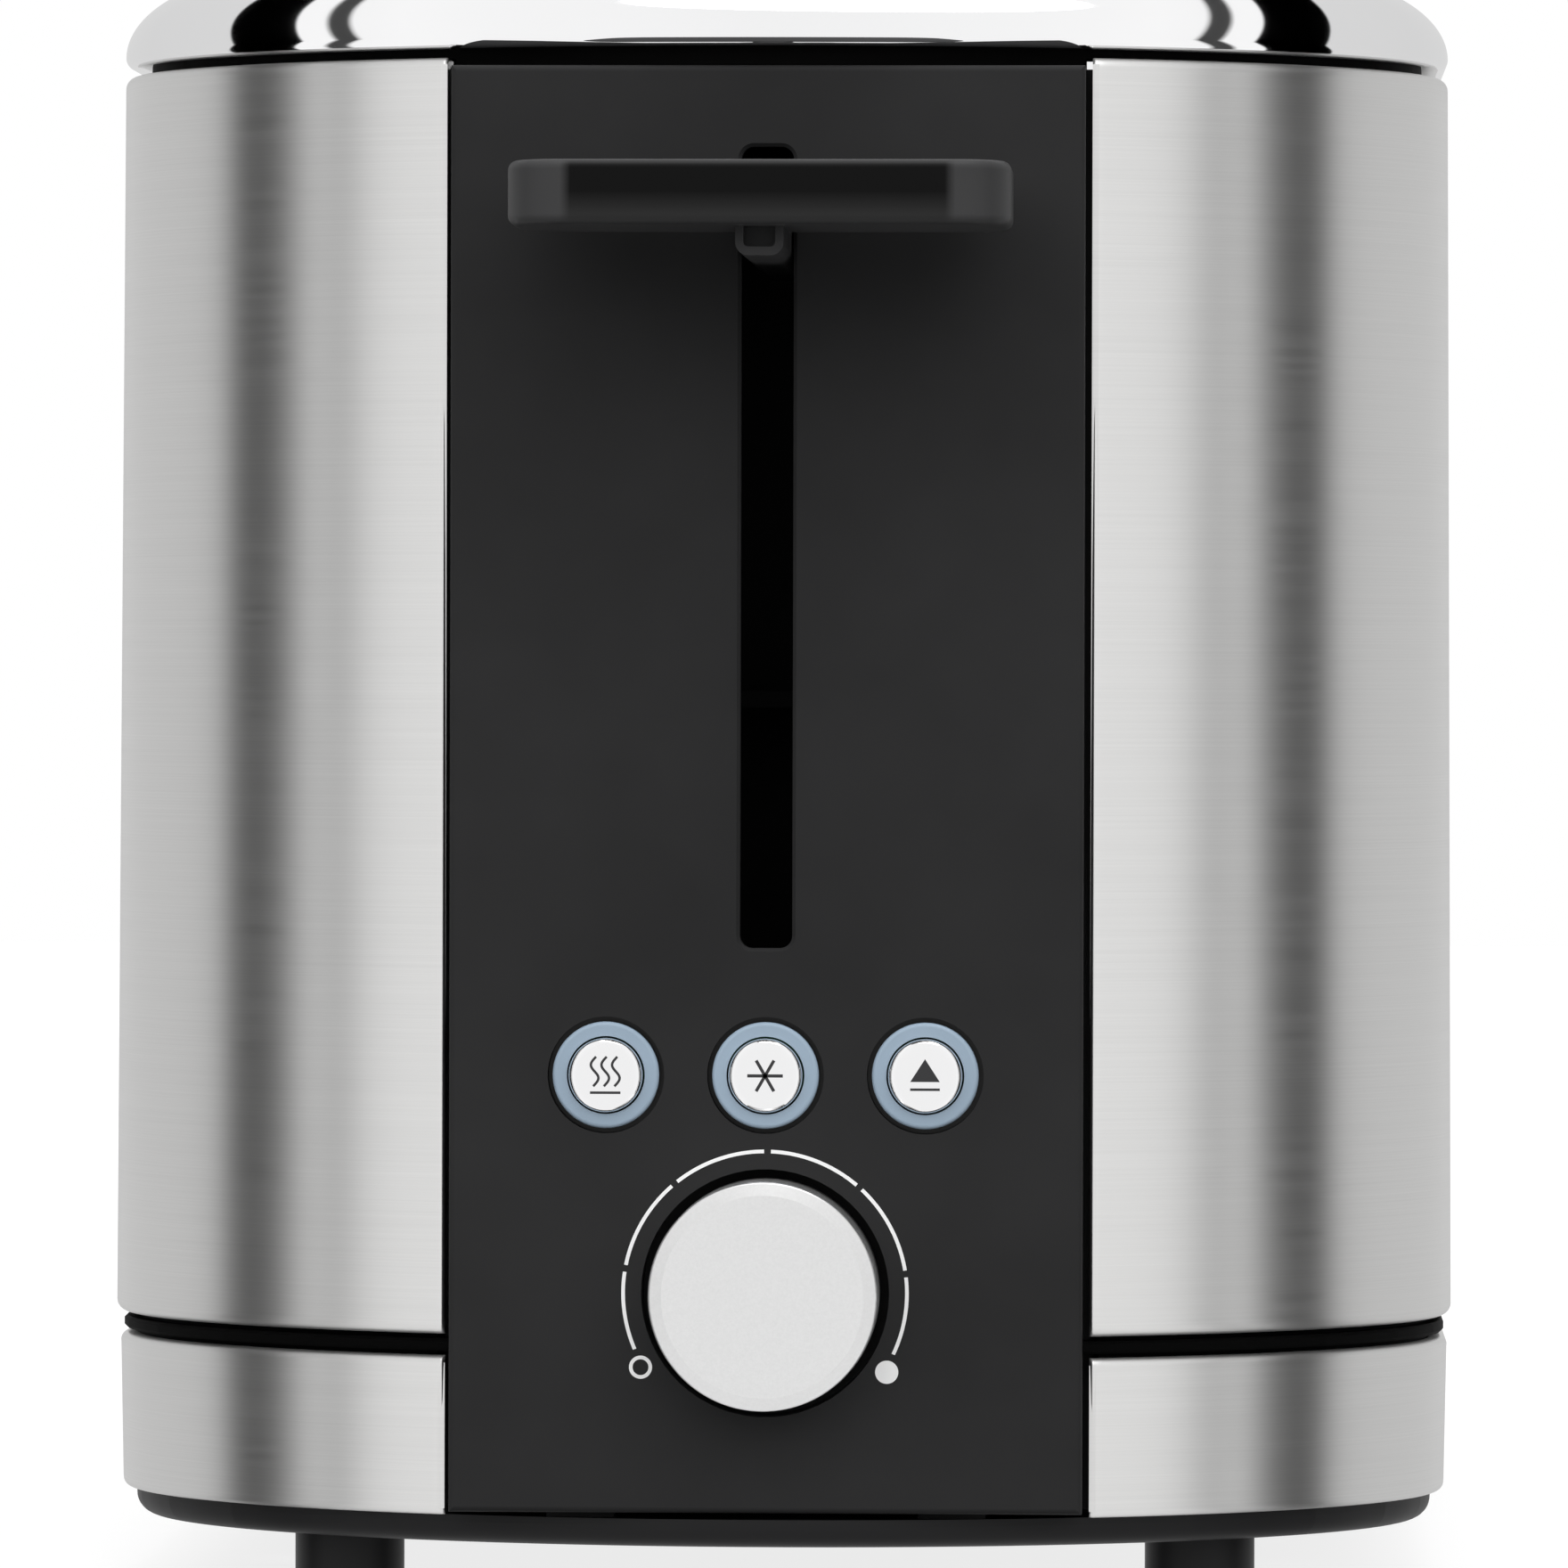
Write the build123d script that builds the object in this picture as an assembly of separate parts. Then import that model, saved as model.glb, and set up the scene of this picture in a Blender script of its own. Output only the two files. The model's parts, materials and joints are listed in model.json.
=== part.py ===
from build123d import *
import os
from math import cos, dist, hypot, pi, radians, sin, sqrt

# A two-slice pop-up toaster in millimetres, +Z up, standing on Z = 0.
# Its control end faces -Y. The origin is under the middle of the whole object's box.

# Plan of the body: straight sides, and ends close to half an ellipse, made of tangent arcs
BODY_WIDTH = 164.0
BODY_LENGTH = 284.0
END_DEPTH = 58.0  # half axis of an end's ellipse, along the body
END_ARCS = 6  # arcs in a quarter of the plan

# Heights of the stack, from the table up
FOOT_HEIGHT = 7.4
BASE_THICKNESS = 3.4
BAND_HEIGHT = 18.9
SEAM_GAP = 2.6
CASING_HEIGHT = 151.3
NECK_GAP = 1.0
COVER_HEIGHT = 12.0

# Steel wraps
SHEET = 0.8
CASING_LEAN = 0.84  # how far each side leans in over the casing's height
CASING_ROUND = 1.4
CASING_TOP_LIP = 9.0
SEAM_LIP = 2.0
BAND_INSET = 0.5
BAND_LEAN = 0.35
BAND_ROUND = 1.0
BAND_FOOT_LIP = 4.5
WRAP_FLANGE = 5.0  # folded back beside the panel

# Plinth ring behind the seam, with its bead
PLINTH_WALL = 2.0
PLINTH_RISE = 10.0  # how far it reaches up inside the casing
BEAD_HEIGHT = 1.5
BEAD_INSET = 0.9
BEAD_BEVEL = 0.4

# Top cover and the neck ring that carries it
COVER_DOME = 20.0
COVER_EDGE_ROUND = 1.4
COVER_LIP = 3.6
NECK_INSET = 3.2
NECK_SPIGOT = 3.0
NECK_SPIGOT_WALL = 4.0

# Bread slots and the toasting chamber
SLOT_PITCH = 56.0
SLOT_WIDTH = 31.0
SLOT_LENGTH = 142.0
SLOT_CORNER = 9.0
SLOT_LIP_DEPTH = 8.0
SLOT_LIP_ROUND = 2.4
CHAMBER_LENGTH = 156.0
CHAMBER_SHIFT = 6.0  # the chamber sits this far back from the body's middle

# Base, feet and cord gland
BASE_INSET = 2.5
BASE_ROUND = 2.6
FOOT_INSET = 30.7  # from the body's side to a foot's axis
FOOT_SETBACK_FRONT = 32.0
FOOT_SETBACK_REAR = 52.0
FOOT_RADIUS = 6.6
PAD_RADIUS = 5.6
PAD_HEIGHT = 1.5
GLAND_TRAY_GAP = 7.5  # from the tray's side to the gland's axis
GLAND_EDGE = 12.3  # from the body's corner to the gland's axis
GLAND_RADIUS = 6.0
GLAND_BORE = 3.4
GLAND_RISE = 3.0
GLAND_FLANGE = 1.4
GLAND_FLANGE_HEIGHT = 1.0

# Control panel
PANEL_WIDTH = 74.8
PANEL_GAP = 0.8
PANEL_SETBACK = 2.2
PANEL_WALL = 2.5
PANEL_DEPTH = 12.0
PANEL_ROUND = 0.7
PANEL_TOP_DROP = 1.2
PANEL_BOTTOM_GAP = 0.8
PANEL_TAB_X = 22.0
PANEL_TAB_SIZE = 8.0
PANEL_LIP = 1.4  # rib behind the casing's fold that closes the gap beside the panel

# Lever
LEVER_SLOT_WIDTH = 6.2
LEVER_SLOT_TOP_DROP = 10.8
LEVER_SLOT_CORNER = 1.5
LEVER_SLOT_BEVEL = 0.4
LEVER_SLOT_RISE = 15.0  # bottom of the slot above the button row
LEVER_REACH = 30.0  # from the panel's face to the grip's front
GRIP_WIDTH = 58.3
GRIP_HEIGHT = 7.5
GRIP_DEPTH = 26.0
GRIP_CORNER = 6.5
GRIP_ROUND = 1.1
GRIP_DROP = 2.8  # top of the grip below the top of the slot
ARM_DROP = 0.8  # top of the arm below the top of the grip
ARM_HEIGHT = 10.1
ARM_ROUND = 1.5
ARM_SOCKET = 20.0  # how far the arm reaches into the grip
ARM_POCKET_WIDTH = 3.7
ARM_POCKET_DEPTH = 2.5
ARM_POCKET_FLOOR = 1.0  # wall left under the pocket
ARM_POCKET_ROUND = 0.6

# Buttons and their light rings
BUTTON_RISE = 52.5  # button row above the base plate
BUTTON_PITCH = 18.85
BUTTON_RADIUS = 4.4
BUTTON_PROUD = 1.3
BUTTON_ROUND = 0.9
BUTTON_LENGTH = 7.0
BUTTON_TRAVEL = 1.2
STEM_RADIUS = 1.8
RING_RADIUS = 6.3
RING_BORE_GAP = 0.2
RING_HOLE_GAP = 0.6
RING_PROUD = 0.2
RING_ROUND = 0.5
RING_FLANGE = 1.9
RING_FLANGE_HEIGHT = 1.2

# Browning knob and dial control
KNOB_RISE = 26.8  # knob axis above the base plate
KNOB_RADIUS = 13.5
KNOB_HOLE_GAP = 1.15
KNOB_PROUD = 8.0
KNOB_BEVEL = 1.6
KNOB_BEVEL_DEPTH = 0.7
KNOB_ROUND = 0.4
KNOB_WALL = 1.6
KNOB_SEAT = 3.5
KNOB_HUB = 5.0
CUP_DEPTH = 6.0
CUP_WALL = 1.6
DIAL_SHAFT_RADIUS = 3.0
DIAL_SIZE = 16.0
DIAL_DEPTH = 6.4
DIAL_BORE_DEPTH = 4.0

# Control board behind the panel
BOARD_SETBACK = 15.0
BOARD_THICKNESS = 1.6
BOARD_WIDTH = 67.0
BOARD_BOTTOM_RISE = 5.0
BOARD_TOP_DROP = 3.0  # below the lever slot
BOSS_RADIUS = 2.6
BOSS_X = 30.3
BOSS_MARGIN = 4.0
BOARD_SCREW_RADIUS = 1.1
BOARD_SCREW_HEAD = 2.4
BOARD_SCREW_HEAD_HEIGHT = 1.6
BOARD_SCREW_LENGTH = 7.0
SWITCH_SIZE = 6.0
SWITCH_HEIGHT = 3.6
SWITCH_PLUNGER = 1.7
SWITCH_PLUNGER_HEIGHT = 0.8
RELAY_SIZE = (19.0, 15.0, 16.0)
RELAY_X = 18.0

# Chassis
BULKHEAD = 1.0
CHASSIS_FLOOR_RISE = 14.7
CHASSIS_TOP_DROP = 7.6
SHIELD_GAP = 9.0  # from a heating board to its shield
SHIELD_MARGIN = 2.0  # bulkhead past the shield
LEG_GAP = 4.0  # from the tray to a bulkhead's leg
FOOT_TAB = 13.0
SHELF_DEPTH = 18.0
SHELF_WIDTH = 66.0
CHASSIS_SCREW_RADIUS = 1.5
CHASSIS_SCREW_HEAD = 3.0
CHASSIS_SCREW_HEAD_HEIGHT = 1.6
CHASSIS_SCREW_LENGTH = 7.0
SCREW_MARGIN = 5.6  # from a bulkhead's side to its screws

# Heating boards and their windings
MICA = 0.8
MICA_BOTTOM_RISE = 14.0
MICA_TOP_DROP = 14.0
WIRE_RADIUS = 0.5
WIRE_STANDOFF = 0.1
WIRE_TURNS = 8
WIRE_MARGIN = 12.0
WIRE_BEND = 0.9

# Bread guards
GUARD_OFFSET = 16.0  # from the slot's middle to a guard's pivot
GUARD_PIVOT_RISE = 16.5
GUARD_TOP_DROP = 8.0
GUARD_PIN_RADIUS = 1.0
GUARD_RAIL_RADIUS = 0.9
GUARD_WIRE_RADIUS = 0.8
GUARD_WIRES = 12
GUARD_PIN_PAST = 1.5
GUARD_END_GAP = 6.0

# Carriage
RACK_LOW_RISE = 14.5  # rack's top above the chassis floor when the lever is down
RACK_WEB = 1.2
RACK_WEB_HEIGHT = 10.0
RACK_WIDTH = 22.0
RACK_RIB = 1.4
RACK_RIB_HEIGHT = 3.0
RACK_RIBS = 11
RACK_END_GAP = 6.0
RACK_TAIL = 4.0
GUIDE_ROD_RADIUS = 2.5
GUIDE_ROD_PITCH = 28.0
GUIDE_ROD_GAP = 9.0  # from the front bulkhead to the rods' axes
SLEEVE_WALL = 2.1
SLIDER_PLATE = 1.5
SLIDER_BACK = 3.5  # from the rods' axes to the slider's plate
SLIDER_WIDTH = 38.0
SLIDER_BAR_HEIGHT = 14.0
SLIDER_BAR_PAST = 3.0
ARMATURE_WIDTH = 18.0
ARMATURE_DEPTH = 13.0
ARMATURE_THICKNESS = 2.0
LATCH_GAP = 0.4
CORE_FOOT = 3.0
CORE_POST = 3.0
CORE_POLE_RADIUS = 1.8
CORE_DEPTH = 9.0
COIL_RADIUS = 4.2

# Lift spring
SPRING_X = 27.0
SPRING_RADIUS = 2.6
SPRING_WIRE_RADIUS = 0.5
SPRING_TURNS = 14
SPRING_EAR = 9.0
SPRING_EAR_HEIGHT = 1.5
SPRING_END_GAP = 0.2

# Crumb tray
TRAY_MARGIN = 5.0  # wider than the two slots together by this much
TRAY_RAIL_HEIGHT = 2.2
TRAY_RAIL_WIDTH = 3.0
TRAY_RAIL_INSET = 6.0
TRAY_HEIGHT = 8.0
TRAY_FRONT_HEIGHT = 12.2
TRAY_FRONT_WALL = 2.0
TRAY_FRONT_PAST = 4.0
TRAY_FRONT_DROP = 0.1
PULL_WIDTH = 36.0
PULL_REACH = 5.0
PULL_HEIGHT = 2.6
PULL_ROUND = 1.0

# Terminal block
TERMINAL_SIZE = (9.0, 12.0, 11.0)
TERMINAL_GAP = 2.0
TERMINAL_SCREW_RADIUS = 1.8
TERMINAL_SCREW_DEPTH = 4.0

# Clearances
RUNNING_FIT = 0.05
SLIDE_GAP = 0.3
SHELL_GAP = 0.3
SEAT_GAP = 0.1
CUT = 2.0  # how far a cutting tool runs past the face it cuts
GAP_SAMPLE = 1.0  # spacing of the points on which a wire's gap to itself is measured

# Levels worked out from the stack
Z_PLATE = FOOT_HEIGHT + BASE_THICKNESS
Z_BAND = Z_PLATE + BAND_HEIGHT
Z_CASING = Z_BAND + SEAM_GAP
Z_CASING_TOP = Z_CASING + CASING_HEIGHT
Z_COVER = Z_CASING_TOP + NECK_GAP
Z_TOP = Z_COVER + COVER_HEIGHT
CHASSIS_FLOOR = Z_PLATE + CHASSIS_FLOOR_RISE
CHASSIS_TOP = Z_CASING_TOP - CHASSIS_TOP_DROP

# Plan worked out from the body
BODY_Y = (LEVER_REACH - PANEL_SETBACK - PULL_REACH) / 2
FRONT_Y = BODY_Y - BODY_LENGTH / 2
REAR_Y = BODY_Y + BODY_LENGTH / 2
COVER_INSET = CASING_LEAN
FOOT_X = BODY_WIDTH / 2 - FOOT_INSET

# Panel, lever and carriage positions
PANEL_Y = FRONT_Y + PANEL_SETBACK
PANEL_BACK = PANEL_Y + PANEL_WALL
PANEL_OPENING = PANEL_WIDTH / 2 + PANEL_GAP
PANEL_BOTTOM = Z_PLATE + PANEL_BOTTOM_GAP
PANEL_TOP = Z_CASING_TOP - PANEL_TOP_DROP
BUTTON_Z = Z_PLATE + BUTTON_RISE
KNOB_Z = Z_PLATE + KNOB_RISE
KNOB_HOLE = KNOB_RADIUS + KNOB_HOLE_GAP
LEVER_SLOT_BOTTOM = BUTTON_Z + LEVER_SLOT_RISE
LEVER_SLOT_TOP = Z_CASING_TOP - LEVER_SLOT_TOP_DROP
ARM_WIDTH = LEVER_SLOT_WIDTH - 2 * SLIDE_GAP
GRIP_TOP = LEVER_SLOT_TOP - GRIP_DROP
ARM_TOP = GRIP_TOP - ARM_DROP
ARM_BOTTOM = ARM_TOP - ARM_HEIGHT
LEVER_TRAVEL = ARM_BOTTOM - LEVER_SLOT_BOTTOM - 2 * SLIDE_GAP
GRIP_FRONT = PANEL_Y - LEVER_REACH
RACK_TOP = CHASSIS_FLOOR + RACK_LOW_RISE + LEVER_TRAVEL

# Chamber positions
CHAMBER_Y = BODY_Y + CHAMBER_SHIFT
FRONT_WALL = CHAMBER_Y - CHAMBER_LENGTH / 2
REAR_WALL = CHAMBER_Y + CHAMBER_LENGTH / 2
SLOT_X = SLOT_PITCH / 2
MICA_BOTTOM = CHASSIS_FLOOR + MICA_BOTTOM_RISE
MICA_TOP = CHASSIS_TOP - MICA_TOP_DROP
SHIELD_X = SLOT_PITCH + SHIELD_GAP
BULKHEAD_X = SHIELD_X + SHEET + SHIELD_MARGIN
GUARD_PIVOT_Z = CHASSIS_FLOOR + GUARD_PIVOT_RISE
GUARD_TOP = CHASSIS_TOP - GUARD_TOP_DROP
ROD_Y = FRONT_WALL - BULKHEAD - GUIDE_ROD_GAP
SLIDER_Y = ROD_Y + SLIDER_BACK
SLIDER_BAR_TOP = RACK_TOP + SLIDE_GAP
SLIDER_BAR_BOTTOM = SLIDER_BAR_TOP - SLIDER_BAR_HEIGHT
SHELF_BOTTOM = CHASSIS_TOP - BULKHEAD
SLIDER_TOP = SHELF_BOTTOM - SLIDE_GAP

# Board positions
BOARD_Y = PANEL_Y + BOARD_SETBACK
BOARD_BOTTOM = Z_PLATE + BOARD_BOTTOM_RISE
BOARD_TOP = LEVER_SLOT_BOTTOM - BOARD_TOP_DROP
BOSS_ROWS = (BOARD_BOTTOM + BOSS_MARGIN, BOARD_TOP - BOSS_MARGIN)
BOSS_PLACES = [(x, z) for x in (-BOSS_X, BOSS_X) for z in BOSS_ROWS]
SWITCH_TIP = BOARD_Y - SWITCH_HEIGHT - SWITCH_PLUNGER_HEIGHT

# Tray positions
TRAY_X = (SLOT_PITCH + SLOT_WIDTH + TRAY_MARGIN) / 2
TRAY_BOTTOM = Z_PLATE + TRAY_RAIL_HEIGHT + SLIDE_GAP
TRAY_FRONT_X = TRAY_X + TRAY_FRONT_PAST
TRAY_FRONT_BOTTOM = TRAY_BOTTOM + TRAY_FRONT_DROP
TRAY_FRONT_TOP = TRAY_FRONT_BOTTOM + TRAY_FRONT_HEIGHT
LEG_X = TRAY_X + LEG_GAP
SCREW_X = BULKHEAD_X - SCREW_MARGIN
GLAND_X = TRAY_X + GLAND_TRAY_GAP
SCREW_ROWS = (FRONT_WALL + FOOT_TAB / 2, REAR_WALL - FOOT_TAB / 2)
SCREW_PLACES = [(x, y) for x in (-SCREW_X, SCREW_X) for y in SCREW_ROWS]


def block(x0, x1, y0, y1, z0, z1):
    """Box between the given limits."""
    box = Box(x1 - x0, y1 - y0, z1 - z0)
    return Pos((x0 + x1) / 2, (y0 + y1) / 2, (z0 + z1) / 2) * box


def upright(x, y, radius, z0, z1):
    """Vertical cylinder."""
    return Pos(x, y, (z0 + z1) / 2) * Cylinder(radius, z1 - z0)


def level(x, z, radius, y0, y1):
    """Cylinder along Y."""
    return Pos(x, (y0 + y1) / 2, z) * Rot(90, 0, 0) * Cylinder(radius, y1 - y0)


def ellipse_x(turn):
    """How far from the middle an end's ellipse faces turn degrees away from the side."""
    half = BODY_WIDTH / 2
    across = half * cos(radians(turn))
    return half * across / hypot(across, END_DEPTH * sin(radians(turn)))


def quarter_arcs():
    """Arcs of the quarter plan at +X +Y: centre x, centre y, radius and start angle of each, side first."""
    turn = 90 / END_ARCS
    arcs = []
    x, y = BODY_WIDTH / 2, 0.0
    for number in range(END_ARCS):
        start = radians(number * turn)
        stop = radians((number + 1) * turn)
        radius = (ellipse_x(number * turn) - ellipse_x((number + 1) * turn)) / (cos(start) - cos(stop))
        centre_x = x - radius * cos(start)
        centre_y = y - radius * sin(start)
        arcs.append((centre_x, centre_y, radius, number * turn))
        x = centre_x + radius * cos(stop)
        y = centre_y + radius * sin(stop)
    side_y = BODY_LENGTH / 2 - y
    return [(centre_x, centre_y + side_y, radius, start) for centre_x, centre_y, radius, start in arcs]


def end_reach(x, inset):
    """How far the plan, moved in by inset, reaches along the body at a distance x from its middle."""
    for centre_x, centre_y, radius, start in quarter_arcs():
        if x >= centre_x + (radius - inset) * cos(radians(start + 90 / END_ARCS)):
            return centre_y + sqrt((radius - inset) ** 2 - (x - centre_x) ** 2)
    raise ValueError("x lies past the middle of the plan")


def outline(inset):
    """Closed plan of the body, moved in by inset, starting at the front of its right side."""
    arcs = quarter_arcs()
    turn = 90 / END_ARCS
    side_x = BODY_WIDTH / 2 - inset
    side_y = arcs[0][1]
    edges = [Line((side_x, -side_y), (side_x, side_y))]
    edges += [CenterArc((x, y), r - inset, start, turn) for x, y, r, start in arcs]
    edges += [CenterArc((-x, y), r - inset, 180 - start - turn, turn) for x, y, r, start in reversed(arcs)]
    edges += [Line((-side_x, side_y), (-side_x, -side_y))]
    edges += [CenterArc((-x, -y), r - inset, 180 + start, turn) for x, y, r, start in arcs]
    edges += [CenterArc((x, -y), r - inset, 360 - start - turn, turn) for x, y, r, start in reversed(arcs)]
    return Wire(edges)


def slab(z0, z1, inset0, inset1=None):
    """Solid with the body's plan, from inset0 at z0 to inset1 at z1."""
    low = Pos(0, BODY_Y, z0) * Face(outline(inset0))
    if inset1 is None or inset1 == inset0:
        return extrude(low, amount=z1 - z0, dir=(0, 0, 1))
    high = Pos(0, BODY_Y, z1) * Face(outline(inset1))
    return loft([low, high], ruled=True)


def casing_inset(z):
    """How far the casing's face has leaned in at height z."""
    return CASING_LEAN * (z - Z_CASING) / CASING_HEIGHT


def band_inset(z):
    """How far the lower band's face has leaned in at height z."""
    return BAND_INSET + BAND_LEAN * (Z_BAND - z) / BAND_HEIGHT


def end_edges(shape):
    """Edges of the lowest and of the highest face."""
    groups = shape.edges().group_by(Axis.Z)
    return groups[0] + groups[-1]


def steel_wrap(z0, z1, inset_at, radius, bottom_lip, top_lip):
    """Sheet wrap with rolled lips, open at the control end, its edges folded back beside the panel."""
    solid = slab(z0, z1, inset_at(z0), inset_at(z1))
    solid = fillet(end_edges(solid), radius)
    inner0 = z0 + SHEET
    inner1 = z1 - SHEET
    wrap = solid - slab(inner0, inner1, inset_at(inner0) + SHEET, inset_at(inner1) + SHEET)
    wrap -= slab(z0 - CUT, inner0 + SHEET, inset_at(z0) + bottom_lip)
    wrap -= slab(inner1 - SHEET, z1 + CUT, inset_at(z1) + top_lip)
    wrap -= block(-PANEL_OPENING, PANEL_OPENING, FRONT_Y - CUT, BODY_Y, z0 - CUT, z1 + CUT)
    edge_y = panel_edge_y()
    for side in (-1, 1):
        x = side * (PANEL_OPENING + SHEET / 2)
        fold = block(x - SHEET / 2, x + SHEET / 2, FRONT_Y - CUT, edge_y + WRAP_FLANGE, z0, z1)
        wrap += solid & fold
    return wrap


def panel_edge_y():
    """Where the body's face passes the edge of the panel's opening."""
    return BODY_Y - end_reach(PANEL_OPENING, 0)


def tray_opening(gap):
    """Cutter for the tray's way out at the rear."""
    return block(
        -TRAY_FRONT_X - gap,
        TRAY_FRONT_X + gap,
        BODY_Y,
        REAR_Y + CUT,
        TRAY_BOTTOM - gap,
        TRAY_FRONT_TOP + gap,
    )


def foot_places():
    """Centres of the four feet."""
    front = FRONT_Y + FOOT_SETBACK_FRONT
    rear = REAR_Y - FOOT_SETBACK_REAR
    return [(x, y) for x in (-FOOT_X, FOOT_X) for y in (front, rear)]


def gland_y():
    """Where the gland sits along the body, by its distance from the plan's edge."""
    return BODY_Y + end_reach(GLAND_X, GLAND_EDGE)


def base_plate():
    """Black base: a plate with a rounded lower edge, tray rails, screw holes and the gland's hole."""
    plate = slab(FOOT_HEIGHT, Z_PLATE, BASE_INSET)
    plate = fillet(plate.edges().group_by(Axis.Z)[0], BASE_ROUND)
    rail_x = TRAY_X - TRAY_RAIL_INSET
    for x in (-rail_x, rail_x):
        plate += block(
            x - TRAY_RAIL_WIDTH / 2,
            x + TRAY_RAIL_WIDTH / 2,
            FRONT_WALL,
            REAR_WALL,
            Z_PLATE,
            Z_PLATE + TRAY_RAIL_HEIGHT,
        )
    for x, y in SCREW_PLACES:
        plate -= upright(x, y, CHASSIS_SCREW_RADIUS + SEAT_GAP, FOOT_HEIGHT - CUT, Z_PLATE + CUT)
    hole = upright(GLAND_X, gland_y(), GLAND_RADIUS + SEAT_GAP, FOOT_HEIGHT - CUT, Z_PLATE + CUT)
    return plate - hole


def foot_posts():
    """Four round posts under the base."""
    return Compound([upright(x, y, FOOT_RADIUS, PAD_HEIGHT, FOOT_HEIGHT) for x, y in foot_places()])


def foot_pads():
    """Four rubber pads that stand on the table."""
    return Compound([upright(x, y, PAD_RADIUS, 0, PAD_HEIGHT) for x, y in foot_places()])


def lower_band():
    """Lower steel wrap, with the crumb tray's opening at the rear."""
    band = steel_wrap(Z_PLATE, Z_BAND, band_inset, BAND_ROUND, BAND_FOOT_LIP, SEAM_LIP)
    return band - tray_opening(SLIDE_GAP)


def upper_casing():
    """Upper steel wrap, which leans in a little towards its top."""
    return steel_wrap(Z_CASING, Z_CASING_TOP, casing_inset, CASING_ROUND, SEAM_LIP, CASING_TOP_LIP)


def plinth_section(z0, middle, z1):
    """Section of the plinth ring from the bead's face inwards: an upright wall with a bevelled bead."""
    wall = BAND_INSET + SEAM_LIP + SHELL_GAP - BEAD_INSET
    half = BEAD_HEIGHT / 2
    r = BEAD_BEVEL
    inner = wall + PLINTH_WALL
    return [
        Line((wall, z0 - middle), (wall, -half)),
        Line((wall, -half), (r, -half)),
        Line((r, -half), (0, r - half)),
        Line((0, r - half), (0, half - r)),
        Line((0, half - r), (r, half)),
        Line((r, half), (wall, half)),
        Line((wall, half), (wall, z1 - middle)),
        Line((wall, z1 - middle), (inner, z1 - middle)),
        Line((inner, z1 - middle), (inner, z0 - middle)),
        Line((inner, z0 - middle), (wall, z0 - middle)),
    ]


def plinth_ring():
    """Black ring inside the seam, with the bead that shows between the two steel wraps."""
    z0 = Z_PLATE + SHEET
    z1 = Z_CASING + PLINTH_RISE
    middle = (Z_BAND + Z_CASING) / 2
    ring = swept_ring(Pos(0, BODY_Y, middle) * outline(BEAD_INSET), plinth_section(z0, middle, z1))
    fold = PANEL_OPENING + SHEET + SHELL_GAP
    panel_side = PANEL_WIDTH / 2 + SEAT_GAP
    way_in = block(-panel_side, panel_side, FRONT_Y - CUT, BODY_Y, z0 - CUT, z1 + CUT)
    way_in += block(-fold, fold, FRONT_Y - CUT, BODY_Y, z0 - CUT, middle - BEAD_HEIGHT / 2)
    way_in += block(-fold, fold, FRONT_Y - CUT, BODY_Y, middle + BEAD_HEIGHT / 2, z1 + CUT)
    ring -= way_in
    ring -= tray_opening(SLIDE_GAP)
    return ring - block(-TRAY_FRONT_X, TRAY_FRONT_X, BODY_Y, REAR_Y, z0 - CUT, TRAY_FRONT_TOP)


def neck_ring():
    """Black ring on the casing's top lip: a spacer in the gap, a spigot in the cover, a pad on the panel."""
    inner = CASING_TOP_LIP + COVER_INSET
    spacer = slab(Z_CASING_TOP, Z_COVER, COVER_INSET + NECK_INSET)
    spigot_inset = COVER_INSET + COVER_LIP + SHELL_GAP
    spigot = slab(Z_COVER, Z_COVER + NECK_SPIGOT, spigot_inset)
    pad = slab(PANEL_TOP + SEAT_GAP, Z_CASING_TOP, COVER_INSET + NECK_INSET)
    pad &= block(-PANEL_WIDTH / 2, PANEL_WIDTH / 2, FRONT_Y, BODY_Y, PANEL_TOP, Z_CASING_TOP)
    bore = slab(PANEL_TOP, Z_COVER + NECK_SPIGOT + CUT, max(inner, spigot_inset + NECK_SPIGOT_WALL))
    return spacer + spigot + pad - bore


def swept_ring(path, section):
    """Closed section swept round a closed path whose first edge runs along +Y; section x runs to -X."""
    start = path.edges()[0] @ 0
    plane = Plane(origin=start, x_dir=(-1, 0, 0), z_dir=(0, 1, 0))
    return sweep(plane * Face(Wire(section)), path=path)


def cover_section():
    """Section of the cover's rim: a rolled lower lip and an elliptical dome, one sheet thick."""
    r = COVER_EDGE_ROUND
    rise = COVER_HEIGHT - r
    return [
        Line((COVER_LIP, 0), (r, 0)),
        CenterArc((r, r), r, 270, -90),
        EllipticalCenterArc((COVER_DOME, r), COVER_DOME, rise, 180, arc_size=-90),
        Line((COVER_DOME, COVER_HEIGHT), (COVER_DOME, COVER_HEIGHT - SHEET)),
        EllipticalCenterArc((COVER_DOME, r), COVER_DOME - SHEET, rise - SHEET, 90, arc_size=90),
        CenterArc((r, r), r - SHEET, 180, 90),
        Line((r, SHEET), (COVER_LIP, SHEET)),
        Line((COVER_LIP, SHEET), (COVER_LIP, 0)),
    ]


def slot_lip_section():
    """Section of a bread slot's edge: the top sheet rolled over and turned down."""
    r = SLOT_LIP_ROUND
    return [
        Line((0, -SLOT_LIP_DEPTH), (0, -r)),
        CenterArc((-r, -r), r, 0, 90),
        Line((-r, 0), (-r, -SHEET)),
        CenterArc((-r, -r), r - SHEET, 90, -90),
        Line((-SHEET, -r), (-SHEET, -SLOT_LIP_DEPTH)),
        Line((-SHEET, -SLOT_LIP_DEPTH), (0, -SLOT_LIP_DEPTH)),
    ]


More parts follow.
